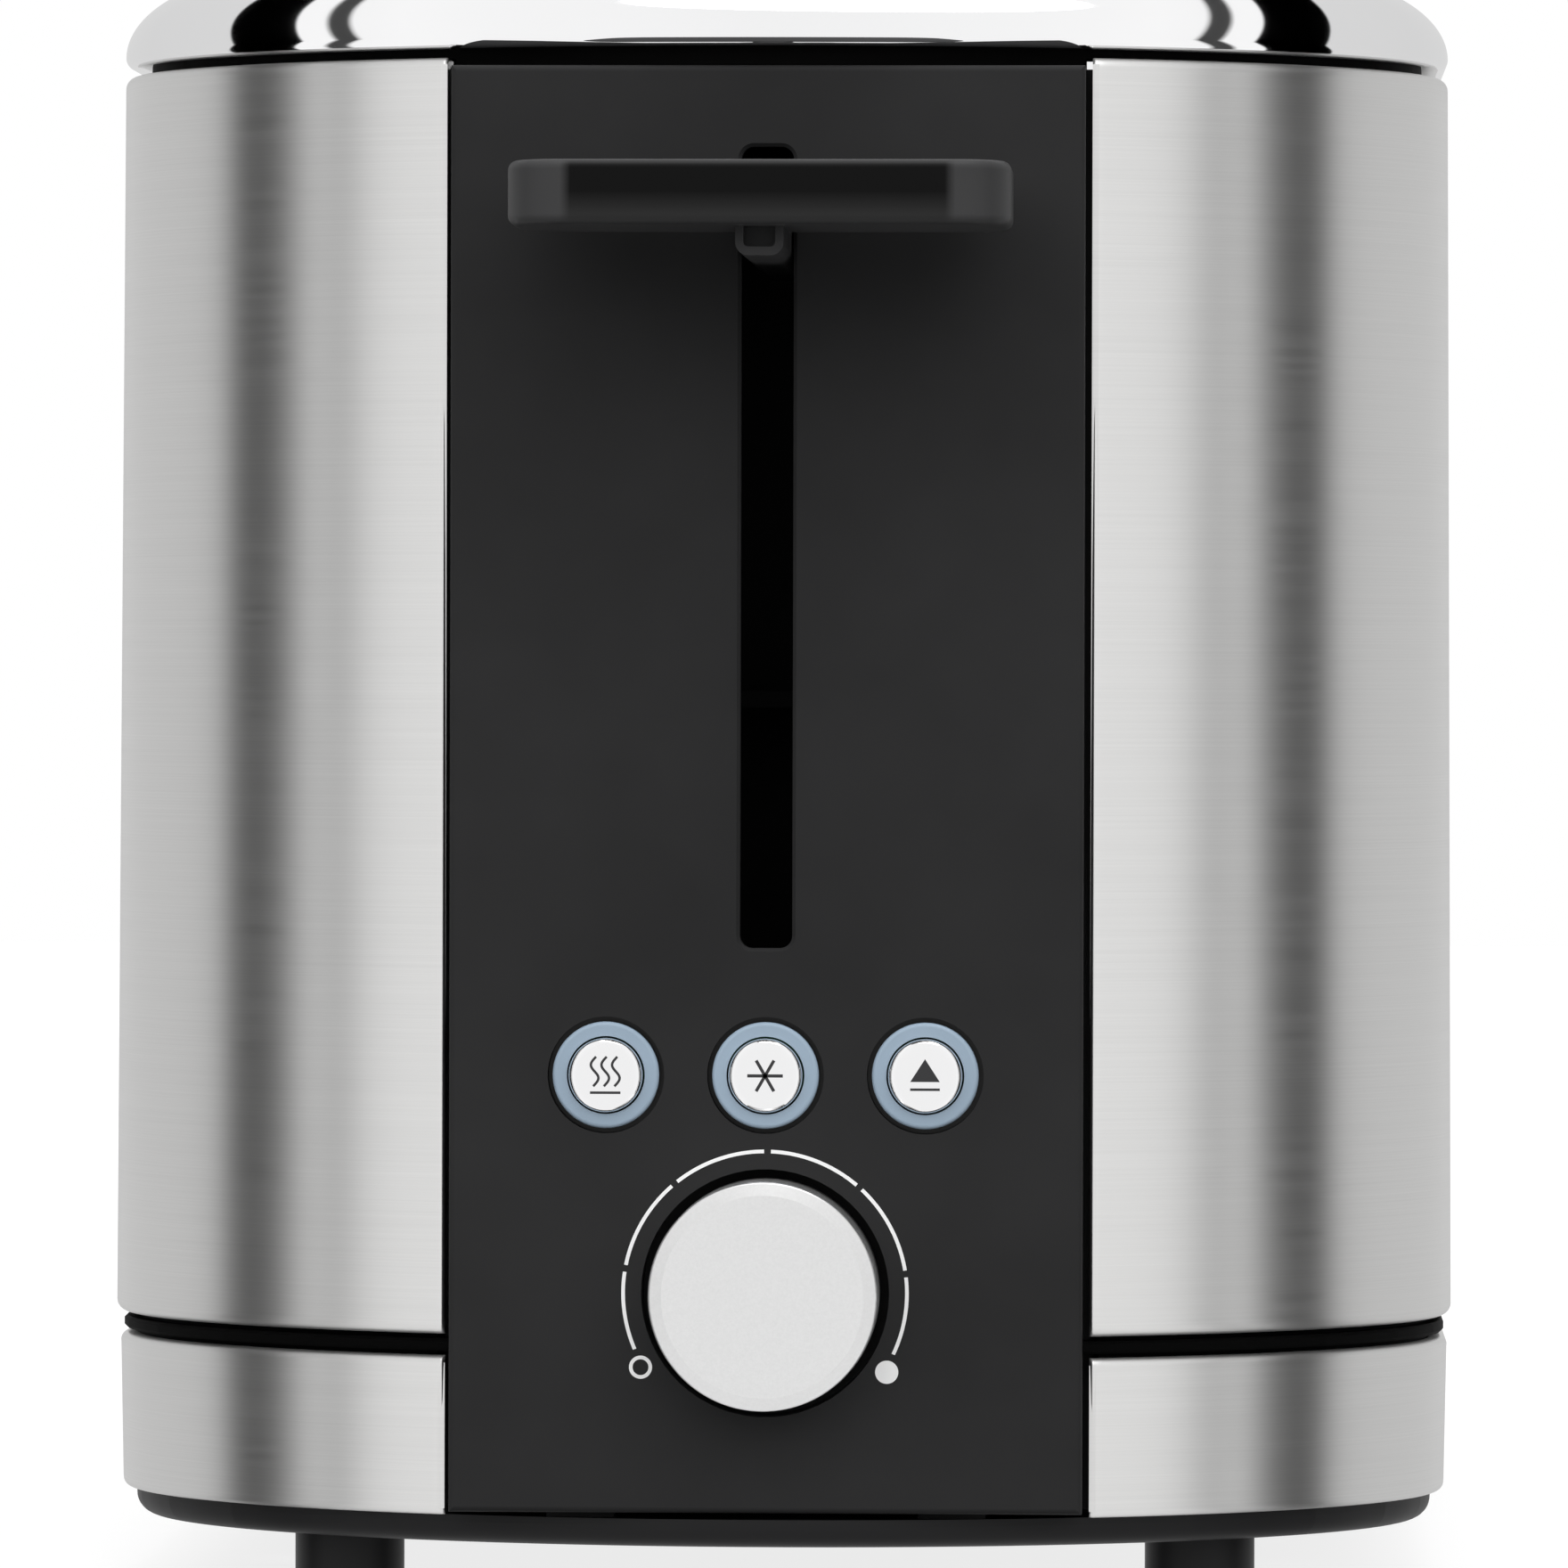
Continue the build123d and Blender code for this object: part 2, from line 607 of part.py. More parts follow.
def slot_path():
    """Rounded rectangle of one bread slot, starting on its right side."""
    x = SLOT_WIDTH / 2
    y = SLOT_LENGTH / 2
    r = SLOT_CORNER
    edges = [
        Line((x, r - y), (x, y - r)),
        CenterArc((x - r, y - r), r, 0, 90),
        Line((x - r, y), (r - x, y)),
        CenterArc((r - x, y - r), r, 90, 90),
        Line((-x, y - r), (-x, r - y)),
        CenterArc((r - x, r - y), r, 180, 90),
        Line((r - x, -y), (x - r, -y)),
        CenterArc((x - r, r - y), r, 270, 90),
    ]
    return Wire(edges)


def top_cover():
    """Chrome cover: a domed rim, a flat top and two bread slots with rolled edges."""
    cover = swept_ring(Pos(0, BODY_Y, Z_COVER) * outline(COVER_INSET), cover_section())
    cover += slab(Z_TOP - SHEET, Z_TOP, COVER_INSET + COVER_DOME)
    grown = 2 * SLOT_LIP_ROUND
    mouth = RectangleRounded(SLOT_WIDTH + grown, SLOT_LENGTH + grown, SLOT_CORNER + SLOT_LIP_ROUND)
    for x in (-SLOT_X, SLOT_X):
        cover -= Pos(x, CHAMBER_Y, Z_TOP - SHEET - CUT) * extrude(mouth, amount=SHEET + 2 * CUT)
        cover += swept_ring(Pos(x, CHAMBER_Y, Z_TOP) * slot_path(), slot_lip_section())
    return cover


def control_panel():
    """Flat black panel: a shallow box open to the rear, with slot, holes, knob cup and board bosses."""
    x = PANEL_WIDTH / 2
    back = PANEL_Y + PANEL_DEPTH
    panel = block(-x, x, PANEL_Y, back, PANEL_BOTTOM, PANEL_TOP)
    panel = fillet(panel.faces().sort_by(Axis.Y)[0].edges(), PANEL_ROUND)
    inner_x = x - PANEL_WALL
    low = PANEL_BOTTOM + PANEL_WALL
    panel -= block(-inner_x, inner_x, PANEL_BACK, back + CUT, low, PANEL_TOP - PANEL_WALL)
    panel += level(0, KNOB_Z, KNOB_HOLE + CUP_WALL, PANEL_BACK, PANEL_BACK + CUP_DEPTH)
    for boss_x, boss_z in BOSS_PLACES:
        panel += level(boss_x, boss_z, BOSS_RADIUS, PANEL_BACK, BOARD_Y)
        screw_end = BOARD_Y - BOARD_SCREW_LENGTH
        panel -= level(boss_x, boss_z, BOARD_SCREW_RADIUS + SEAT_GAP, screw_end, BOARD_Y + CUT)
    lip_y = panel_edge_y() + WRAP_FLANGE + SLIDE_GAP
    for side in (-1, 1):
        lip_x0, lip_x1 = sorted((side * inner_x, side * (PANEL_OPENING + SHEET / 2)))
        panel += block(lip_x0, lip_x1, lip_y, lip_y + PANEL_LIP, PANEL_BOTTOM, PANEL_TOP)
    for tab_x in (-PANEL_TAB_X, PANEL_TAB_X):
        panel += block(
            tab_x - PANEL_TAB_SIZE / 2,
            tab_x + PANEL_TAB_SIZE / 2,
            back - PANEL_TAB_SIZE,
            back,
            Z_PLATE,
            low,
        )
    panel -= level(0, KNOB_Z, KNOB_HOLE, PANEL_Y - CUT, PANEL_BACK + CUP_DEPTH - CUP_WALL)
    panel -= level(0, KNOB_Z, DIAL_SHAFT_RADIUS + SLIDE_GAP, PANEL_Y, back)
    for button_x in (-BUTTON_PITCH, 0, BUTTON_PITCH):
        panel -= level(button_x, BUTTON_Z, RING_RADIUS + RING_HOLE_GAP, PANEL_Y - CUT, PANEL_BACK + SEAT_GAP)
    return panel - lever_slot()


def lever_slot():
    """Cutter for the lever's slot, with rounded corners and a bevelled mouth."""
    height = LEVER_SLOT_TOP - LEVER_SLOT_BOTTOM
    middle = (LEVER_SLOT_TOP + LEVER_SLOT_BOTTOM) / 2
    face = Plane(origin=(0, PANEL_Y, middle), x_dir=(1, 0, 0), z_dir=(0, -1, 0))
    slot = RectangleRounded(LEVER_SLOT_WIDTH, height, LEVER_SLOT_CORNER)
    grown = 2 * LEVER_SLOT_BEVEL
    mouth = RectangleRounded(LEVER_SLOT_WIDTH + grown, height + grown, LEVER_SLOT_CORNER + LEVER_SLOT_BEVEL)
    through = extrude(face * slot, amount=PANEL_WALL + CUT, both=True)
    return through + extrude(face * mouth, amount=-LEVER_SLOT_BEVEL, taper=45)


def light_ring():
    """Translucent ring round a button, with a flange that seats behind the panel."""
    front = PANEL_Y - RING_PROUD
    back = PANEL_BACK + RING_FLANGE_HEIGHT
    ring = level(0, BUTTON_Z, RING_RADIUS, front, back)
    ring = fillet(ring.edges().group_by(Axis.Y)[0], RING_ROUND)
    ring += level(0, BUTTON_Z, RING_RADIUS + RING_FLANGE, PANEL_BACK, back)
    return ring - level(0, BUTTON_Z, BUTTON_RADIUS + RING_BORE_GAP, front - CUT, back + CUT)


def button():
    """Push button: a round cap with a rounded rim and a stem that ends just short of its switch."""
    front = PANEL_Y - BUTTON_PROUD
    cap = level(0, BUTTON_Z, BUTTON_RADIUS, front, front + BUTTON_LENGTH)
    cap = fillet(cap.edges().group_by(Axis.Y)[0], BUTTON_ROUND)
    return cap + level(0, BUTTON_Z, STEM_RADIUS, front + BUTTON_LENGTH, SWITCH_TIP - BUTTON_TRAVEL - SEAT_GAP)


def browning_knob():
    """Silver knob: a cup with a bevelled rim, and a hub that holds the dial's shaft."""
    front = PANEL_Y - KNOB_PROUD
    back = PANEL_Y + KNOB_SEAT
    knob = level(0, KNOB_Z, KNOB_RADIUS, front, back)
    face = knob.faces().sort_by(Axis.Y)[0]
    knob = chamfer(face.edges(), KNOB_BEVEL, KNOB_BEVEL_DEPTH, reference=face)
    knob = fillet(knob.edges().filter_by(GeomType.CIRCLE).group_by(Axis.Y)[1], KNOB_ROUND)
    knob -= level(0, KNOB_Z, KNOB_RADIUS - KNOB_WALL, front + KNOB_WALL, back + CUT)
    knob += level(0, KNOB_Z, KNOB_HUB, front + KNOB_WALL, back)
    return knob - level(0, KNOB_Z, DIAL_SHAFT_RADIUS + RUNNING_FIT, front + 2 * KNOB_WALL, back + CUT)


def dial_shaft():
    """Shaft from the dial control into the knob's hub."""
    front = PANEL_Y - KNOB_PROUD + 2 * KNOB_WALL + SEAT_GAP
    back = BOARD_Y - DIAL_DEPTH + DIAL_BORE_DEPTH - SEAT_GAP
    return level(0, KNOB_Z, DIAL_SHAFT_RADIUS, front, back)


def dial_control():
    """Rotary control on the board, with the bore that its shaft turns in."""
    half = DIAL_SIZE / 2
    body = block(-half, half, BOARD_Y - DIAL_DEPTH, BOARD_Y, KNOB_Z - half, KNOB_Z + half)
    bore_end = BOARD_Y - DIAL_DEPTH + DIAL_BORE_DEPTH
    return body - level(0, KNOB_Z, DIAL_SHAFT_RADIUS + RUNNING_FIT, PANEL_Y, bore_end)


def control_board():
    """Circuit board screwed to the panel's bosses."""
    half = BOARD_WIDTH / 2
    board = block(-half, half, BOARD_Y, BOARD_Y + BOARD_THICKNESS, BOARD_BOTTOM, BOARD_TOP)
    for x, z in BOSS_PLACES:
        board -= level(x, z, BOARD_SCREW_RADIUS + SEAT_GAP, BOARD_Y - CUT, BOARD_Y + BOARD_THICKNESS + CUT)
    return board


def board_screws():
    """Four screws that hold the board."""
    face = BOARD_Y + BOARD_THICKNESS
    screws = []
    for x, z in BOSS_PLACES:
        head = level(x, z, BOARD_SCREW_HEAD, face, face + BOARD_SCREW_HEAD_HEIGHT)
        shank_end = BOARD_Y - BOARD_SCREW_LENGTH + SEAT_GAP
        screws.append(head + level(x, z, BOARD_SCREW_RADIUS, shank_end, face))
    return Compound(screws)


def button_switches():
    """Three small switches on the board, one behind each button."""
    half = SWITCH_SIZE / 2
    switches = []
    for x in (-BUTTON_PITCH, 0, BUTTON_PITCH):
        body = block(x - half, x + half, BOARD_Y - SWITCH_HEIGHT, BOARD_Y, BUTTON_Z - half, BUTTON_Z + half)
        switches.append(body + level(x, BUTTON_Z, SWITCH_PLUNGER, SWITCH_TIP, BOARD_Y - SWITCH_HEIGHT))
    return Compound(switches)


def relay():
    """Relay on the back of the board."""
    width, depth, height = RELAY_SIZE
    y0 = BOARD_Y + BOARD_THICKNESS
    z0 = BUTTON_Z - height
    return block(RELAY_X - width / 2, RELAY_X + width / 2, y0, y0 + depth, z0, z0 + height)


def bulkhead(wall, outward):
    """Chassis end wall on two legs, with guard pivots and rack slots; outward is away from the chamber."""
    y0, y1 = sorted((wall, wall + outward * BULKHEAD))
    plate = block(-BULKHEAD_X, BULKHEAD_X, y0, y1, Z_PLATE, CHASSIS_TOP)
    plate -= block(-LEG_X, LEG_X, y0 - CUT, y1 + CUT, Z_PLATE - CUT, CHASSIS_FLOOR)
    tab0, tab1 = sorted((wall, wall - outward * FOOT_TAB))
    for side in (-1, 1):
        x0, x1 = sorted((side * LEG_X, side * BULKHEAD_X))
        plate += block(x0, x1, tab0, tab1, Z_PLATE, Z_PLATE + BULKHEAD)
        slot_half = RACK_WEB / 2 + SLIDE_GAP
        slot_x = side * SLOT_X
        low = RACK_TOP - LEVER_TRAVEL - RACK_WEB_HEIGHT - 2 * SLIDE_GAP
        plate -= block(slot_x - slot_half, slot_x + slot_half, y0 - CUT, y1 + CUT, low, RACK_TOP + CUT)
        for offset in (-GUARD_OFFSET, GUARD_OFFSET):
            plate -= level(slot_x + offset, GUARD_PIVOT_Z, GUARD_PIN_RADIUS + RUNNING_FIT, y0 - CUT, y1 + CUT)
    for x, y in SCREW_PLACES:
        plate -= upright(x, y, CHASSIS_SCREW_RADIUS + SEAT_GAP, Z_PLATE - CUT, Z_PLATE + BULKHEAD + CUT)
    return plate


def front_bulkhead():
    """Front end wall, with the shelf that holds the guide rods and the spring."""
    half = SHELF_WIDTH / 2
    shelf = block(-half, half, FRONT_WALL - SHELF_DEPTH, FRONT_WALL, SHELF_BOTTOM, CHASSIS_TOP)
    return bulkhead(FRONT_WALL, -1) + shelf


def rear_bulkhead():
    """Rear end wall of the chassis."""
    return bulkhead(REAR_WALL, 1)


def heat_shield(side):
    """Steel sheet between a heating board and the casing."""
    x0, x1 = sorted((side * SHIELD_X, side * (SHIELD_X + SHEET)))
    return block(x0, x1, FRONT_WALL, REAR_WALL, CHASSIS_FLOOR, CHASSIS_TOP)


def element_board():
    """Sheet of mica that carries a heating wire."""
    return block(-MICA / 2, MICA / 2, FRONT_WALL, REAR_WALL, MICA_BOTTOM, MICA_TOP)


def element_path():
    """Line of a heating wire: up one face of its board, over the edge, down the other and on by a step."""
    out = MICA / 2 + WIRE_RADIUS + WIRE_STANDOFF
    low = MICA_BOTTOM - out
    high = MICA_TOP + out
    step = (CHAMBER_LENGTH - 2 * WIRE_MARGIN) / WIRE_TURNS
    y = FRONT_WALL + WIRE_MARGIN
    points = [(-out, y, MICA_BOTTOM)]
    for turn in range(WIRE_TURNS):
        points.append((-out, y, high))
        points.append((out, y, high))
        y += step
        if turn < WIRE_TURNS - 1:
            points.append((out, y, low))
            points.append((-out, y, low))
    points.append((out, y, MICA_BOTTOM))
    return FilletPolyline(*points, radius=WIRE_BEND)


def swept_wire(path, radius):
    """Round wire along a path."""
    plane = Plane(origin=path @ 0, z_dir=path % 0)
    return sweep(plane * Circle(radius), path=path)


def least_gap(path, radius, apart):
    """Smallest clear distance between two stretches of a wire that lie more than apart along it."""
    points = []
    run = 0.0
    for edge in path.edges():
        steps = max(1, round(edge.length / GAP_SAMPLE))
        for step in range(steps):
            points.append((run + edge.length * step / steps, tuple(edge @ (step / steps))))
        run += edge.length
    nearest = min(
        dist(first, second)
        for i, (first_run, first) in enumerate(points)
        for second_run, second in points[i + 1 :]
        if second_run - first_run > apart
    )
    return nearest - 2 * radius


def guide_rods():
    """Two upright rods that the carriage slides on."""
    xs = (-GUIDE_ROD_PITCH / 2, GUIDE_ROD_PITCH / 2)
    return Compound([upright(x, ROD_Y, GUIDE_ROD_RADIUS, Z_PLATE, SHELF_BOTTOM) for x in xs])


def carriage_slider():
    """Carriage plate with two sleeves on the rods, a cross bar for the racks and the spring's ear."""
    half = SLIDER_WIDTH / 2
    y1 = SLIDER_Y + SLIDER_PLATE
    slider = block(-half, half, SLIDER_Y, y1, SLIDER_BAR_BOTTOM, SLIDER_TOP)
    bar = SLOT_X + RACK_WEB / 2 + SLIDER_BAR_PAST
    slider += block(-bar, bar, SLIDER_Y, y1, SLIDER_BAR_BOTTOM, SLIDER_BAR_TOP)
    ear_top = SLIDER_BAR_BOTTOM + SPRING_EAR_HEIGHT
    ear = SPRING_EAR / 2
    slider += block(SPRING_X - ear, SPRING_X + ear, ROD_Y - ear, y1, SLIDER_BAR_BOTTOM, ear_top)
    for x in (-GUIDE_ROD_PITCH / 2, GUIDE_ROD_PITCH / 2):
        slider += upright(x, ROD_Y, GUIDE_ROD_RADIUS + SLEEVE_WALL, SLIDER_BAR_BOTTOM, SLIDER_TOP)
    for x in (-GUIDE_ROD_PITCH / 2, GUIDE_ROD_PITCH / 2):
        slider -= upright(x, ROD_Y, GUIDE_ROD_RADIUS + RUNNING_FIT, SLIDER_BAR_BOTTOM - CUT, SLIDER_TOP + CUT)
    return slider


def lever_arm():
    """Arm from the carriage through the panel's slot into the grip, with a pocket in its front end."""
    half = ARM_WIDTH / 2
    front = GRIP_FRONT + GRIP_DEPTH - ARM_SOCKET
    arm = block(-half, half, front, SLIDER_Y, ARM_BOTTOM, ARM_TOP)
    arm = fillet(arm.edges().filter_by(Axis.Y), ARM_ROUND)
    half = ARM_POCKET_WIDTH / 2
    floor = ARM_BOTTOM + ARM_POCKET_FLOOR
    pocket = block(-half, half, front - CUT, front + ARM_POCKET_DEPTH, floor, GRIP_TOP - GRIP_HEIGHT)
    lower_edges = pocket.edges().filter_by(Axis.Y).group_by(Axis.Z)[0]
    return arm - fillet(lower_edges, ARM_POCKET_ROUND)


def lever_grip():
    """Grip bar with rounded ends and softened edges, with the socket for the arm."""
    bar = Pos(0, GRIP_FRONT + GRIP_DEPTH / 2, GRIP_TOP - GRIP_HEIGHT) * extrude(
        RectangleRounded(GRIP_WIDTH, GRIP_DEPTH, GRIP_CORNER), amount=GRIP_HEIGHT
    )
    bar = fillet(end_edges(bar), GRIP_ROUND)
    return bar - lever_arm()


def armature_plate():
    """Steel plate on the carriage that the latch magnet holds."""
    half = ARMATURE_WIDTH / 2
    z0 = SLIDER_BAR_BOTTOM
    return block(-half, half, SLIDER_Y - ARMATURE_DEPTH, SLIDER_Y, z0, z0 + ARMATURE_THICKNESS)


def latch_limits():
    """Middle and top of the latch magnet under the armature plate."""
    middle = SLIDER_Y - ARMATURE_DEPTH / 2
    top = SLIDER_BAR_BOTTOM - LEVER_TRAVEL - LATCH_GAP
    return middle, top


def latch_core():
    """Magnet core on the base: a foot, two outer posts and a round pole."""
    middle, top = latch_limits()
    half = ARMATURE_WIDTH / 2
    y0 = middle - CORE_DEPTH / 2
    y1 = middle + CORE_DEPTH / 2
    core = block(-half, half, y0, y1, Z_PLATE, Z_PLATE + CORE_FOOT)
    for side in (-1, 1):
        x0, x1 = sorted((side * half, side * (half - CORE_POST)))
        core += block(x0, x1, y0, y1, Z_PLATE, top)
    return core + upright(0, middle, CORE_POLE_RADIUS, Z_PLATE, top)


def latch_coil():
    """Coil on the magnet's pole."""
    middle, top = latch_limits()
    z0 = Z_PLATE + CORE_FOOT
    z1 = top - ARMATURE_THICKNESS
    coil = upright(0, middle, COIL_RADIUS, z0, z1)
    return coil - upright(0, middle, CORE_POLE_RADIUS + SEAT_GAP, z0 - CUT, z1 + CUT)


def spring_ends():
    """Lowest and highest point of the spring's centre line."""
    low = SLIDER_BAR_BOTTOM + SPRING_EAR_HEIGHT + SPRING_WIRE_RADIUS + SPRING_END_GAP
    high = SHELF_BOTTOM - SPRING_WIRE_RADIUS - SPRING_END_GAP
    return low, high


def spring_path():
    """Helix of the lift spring, as two tangent arcs for each half turn."""
    low, high = spring_ends()
    rise = high - low
    run = hypot(rise, 2 * pi * SPRING_RADIUS * SPRING_TURNS)

    def point(half_turn):
        angle = half_turn * pi
        z = low + rise * half_turn / (2 * SPRING_TURNS)
        return Vector(SPRING_X + SPRING_RADIUS * cos(angle), ROD_Y + SPRING_RADIUS * sin(angle), z)

    def heading(half_turn):
        angle = half_turn * pi
        flat = 2 * pi * SPRING_RADIUS * SPRING_TURNS / run
        return Vector(-flat * sin(angle), flat * cos(angle), rise / run)

    arcs = []
    for half_turn in range(2 * SPRING_TURNS):
        arcs += biarc(point(half_turn), heading(half_turn), point(half_turn + 1), heading(half_turn + 1))
    return Wire(arcs)


def biarc(start, start_dir, end, end_dir):
    """Two arcs that leave start along start_dir and reach end along end_dir, tangent where they meet."""
    chord = end - start
    both = start_dir + end_dir
    turn = 2 * (1 - start_dir.dot(end_dir))
    along = chord.dot(both)
    reach = (sqrt(along**2 + turn * chord.dot(chord)) - along) / turn
    first = start + start_dir * reach
    second = end - end_dir * reach
    middle = (first + second) * 0.5
    return [
        TangentArc(start, middle, tangent=start_dir),
        TangentArc(middle, end, tangent=second - first),
    ]


def bread_rack():
    """Rack bar that carries a slice: an upright web with cross ribs, from the slider to the rear wall."""
    web = RACK_WEB / 2
    y0 = SLIDER_Y + SLIDER_PLATE
    y1 = REAR_WALL + BULKHEAD + RACK_TAIL
    bar = block(-web, web, y0, y1, RACK_TOP - RACK_WEB_HEIGHT, RACK_TOP)
    half = RACK_WIDTH / 2
    first = FRONT_WALL + RACK_END_GAP
    step = (CHAMBER_LENGTH - 2 * RACK_END_GAP - RACK_RIB) / (RACK_RIBS - 1)
    ribs = []
    for rib in range(RACK_RIBS):
        y = first + rib * step
        ribs.append(block(-half, half, y, y + RACK_RIB, RACK_TOP - RACK_RIB_HEIGHT, RACK_TOP))
    return bar + ribs


def bread_guard():
    """Wire guard beside a slice: a pivot pin in both bulkheads, upright wires and a top rail."""
    pin0 = FRONT_WALL - BULKHEAD - GUARD_PIN_PAST
    pin1 = REAR_WALL + BULKHEAD + GUARD_PIN_PAST
    first = FRONT_WALL + GUARD_END_GAP
    last = REAR_WALL - GUARD_END_GAP
    wires = [level(0, GUARD_TOP, GUARD_RAIL_RADIUS, first - GUARD_RAIL_RADIUS, last + GUARD_RAIL_RADIUS)]
    for wire in range(GUARD_WIRES):
        y = first + (last - first) * wire / (GUARD_WIRES - 1)
        wires.append(upright(0, y, GUARD_WIRE_RADIUS, GUARD_PIVOT_Z, GUARD_TOP))
    return level(0, GUARD_PIVOT_Z, GUARD_PIN_RADIUS, pin0, pin1) + wires


def tray_rear_inset():
    """Inset of the tray front's inner face."""
    return band_inset(TRAY_FRONT_BOTTOM) + TRAY_FRONT_WALL


def crumb_tray():
    """Shallow pan under the chamber, its rear end curved like the tray's front."""
    top = TRAY_BOTTOM + TRAY_HEIGHT
    rear = tray_rear_inset() + SEAT_GAP
    pan = block(-TRAY_X, TRAY_X, FRONT_WALL, REAR_Y, TRAY_BOTTOM, top) & slab(TRAY_BOTTOM, top, rear)
    inner_x = TRAY_X - SHEET
    inner = block(-inner_x, inner_x, FRONT_WALL + SHEET, REAR_Y, TRAY_BOTTOM + SHEET, top + CUT)
    return pan - (inner & slab(TRAY_BOTTOM, top + CUT, rear + SHEET))


def crumb_tray_front():
    """Front of the tray, flush in the lower band, with a finger pull."""
    z0 = TRAY_FRONT_BOTTOM
    z1 = TRAY_FRONT_TOP
    front = slab(z0, z1, band_inset(z0), band_inset(z1)) - slab(z0 - CUT, z1 + CUT, tray_rear_inset())
    front &= block(-TRAY_FRONT_X, TRAY_FRONT_X, BODY_Y, REAR_Y + CUT, z0, z1)
    half = PULL_WIDTH / 2
    inner = REAR_Y - tray_rear_inset() - SHEET
    pull = block(-half, half, inner, REAR_Y + PULL_REACH, z1 - PULL_HEIGHT, z1)
    pull = fillet(pull.faces().sort_by(Axis.Y)[-1].edges(), PULL_ROUND)
    pull -= slab(z0 - CUT, z1 + CUT, tray_rear_inset())
    return front + pull


def terminal_block():
    """Mains terminals beside the tray, behind the rear bulkhead, across from the gland."""
    width, depth, height = TERMINAL_SIZE
    y0 = REAR_WALL + BULKHEAD + TERMINAL_GAP
    x0 = -LEG_X - TERMINAL_GAP - width
    top = Z_PLATE + height
    body = block(x0, x0 + width, y0, y0 + depth, Z_PLATE, top)
    for place in (1, 3):
        y = y0 + depth * place / 4
        body -= upright(x0 + width / 2, y, TERMINAL_SCREW_RADIUS, top - TERMINAL_SCREW_DEPTH, top + CUT)
    return body


def cord_gland():
    """Bush in the base where the mains lead comes in from below."""
    low = FOOT_HEIGHT - GLAND_FLANGE_HEIGHT
    high = Z_PLATE + GLAND_RISE
    y = gland_y()
    gland = upright(GLAND_X, y, GLAND_RADIUS, low, high)
    gland += upright(GLAND_X, y, GLAND_RADIUS + GLAND_FLANGE, low, FOOT_HEIGHT)
    return gland - upright(GLAND_X, y, GLAND_BORE, low - CUT, high + CUT)


def chassis_screws():
    """Four screws up through the base into the bulkheads' feet."""
    low = FOOT_HEIGHT - CHASSIS_SCREW_HEAD_HEIGHT
    high = FOOT_HEIGHT + CHASSIS_SCREW_LENGTH
    screws = []
    for x, y in SCREW_PLACES:
        head = upright(x, y, CHASSIS_SCREW_HEAD, low, FOOT_HEIGHT)
        screws.append(head + upright(x, y, CHASSIS_SCREW_RADIUS, FOOT_HEIGHT, high))
    return Compound(screws)


def element_wire():
    """Heating wire wound on a board, one unbroken wire, with its least gap to itself printed."""
    path = element_path()
    print("element wire gap", round(least_gap(path, WIRE_RADIUS, 2 * pi * WIRE_BEND), 2))
    return swept_wire(path, WIRE_RADIUS)


def lift_spring():
    """Spring that lifts the carriage, one unbroken wire, with its least gap to itself printed."""
    path = spring_path()
    print("lift spring gap", round(least_gap(path, SPRING_WIRE_RADIUS, pi * SPRING_RADIUS), 2))
    return swept_wire(path, SPRING_WIRE_RADIUS)


ELEMENTS = {"left": -SLOT_PITCH, "centre": 0.0, "right": SLOT_PITCH}
BUTTONS = {"reheat": -BUTTON_PITCH, "defrost": 0.0, "cancel": BUTTON_PITCH}
RACKS = {"left": -SLOT_X, "right": SLOT_X}
GUARDS = {
    "left_outer": -SLOT_X - GUARD_OFFSET,
    "left_inner": -SLOT_X + GUARD_OFFSET,
    "right_inner": SLOT_X - GUARD_OFFSET,
    "right_outer": SLOT_X + GUARD_OFFSET,
}

nodes = {
    "base_plate": base_plate(),
    "foot_posts": foot_posts(),
    "foot_pads": foot_pads(),
    "plinth_ring": plinth_ring(),
    "lower_band": lower_band(),
    "upper_casing": upper_casing(),
    "neck_ring": neck_ring(),
    "top_cover": top_cover(),
    "control_panel": control_panel(),
    "browning_knob": browning_knob(),
    "dial_shaft": dial_shaft(),
    "dial_control": dial_control(),
    "control_board": control_board(),
    "board_screws": board_screws(),
    "button_switches": button_switches(),
    "relay": relay(),
    "front_bulkhead": front_bulkhead(),
    "rear_bulkhead": rear_bulkhead(),
    "heat_shield_left": heat_shield(-1),
    "heat_shield_right": heat_shield(1),
    "guide_rods": guide_rods(),
    "carriage_slider": carriage_slider(),
    "lever_arm": lever_arm(),
    "lever_grip": lever_grip(),
    "armature_plate": armature_plate(),
    "latch_core": latch_core(),
    "latch_coil": latch_coil(),
    "lift_spring": lift_spring(),
    "crumb_tray": crumb_tray(),
    "crumb_tray_front": crumb_tray_front(),
    "terminal_block": terminal_block(),
    "cord_gland": cord_gland(),
    "chassis_screws": chassis_screws(),
}
repeated = [
    ("button_", button(), BUTTONS),
    ("light_ring_", light_ring(), BUTTONS),
    ("element_board_", element_board(), ELEMENTS),
    ("element_wire_", element_wire(), ELEMENTS),
    ("bread_rack_", bread_rack(), RACKS),
    ("bread_guard_", bread_guard(), GUARDS),
]
for prefix, shape, places in repeated:
    for place, x in places.items():
        nodes[prefix + place] = Pos(x, 0, 0) * shape

os.makedirs("parts", exist_ok=True)
for name, shape in nodes.items():
    export_step(shape, f"parts/{name}.step")
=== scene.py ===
import json
from math import cos, pi, radians, sin, sqrt

import bmesh
import bpy
from mathutils import Matrix, Vector


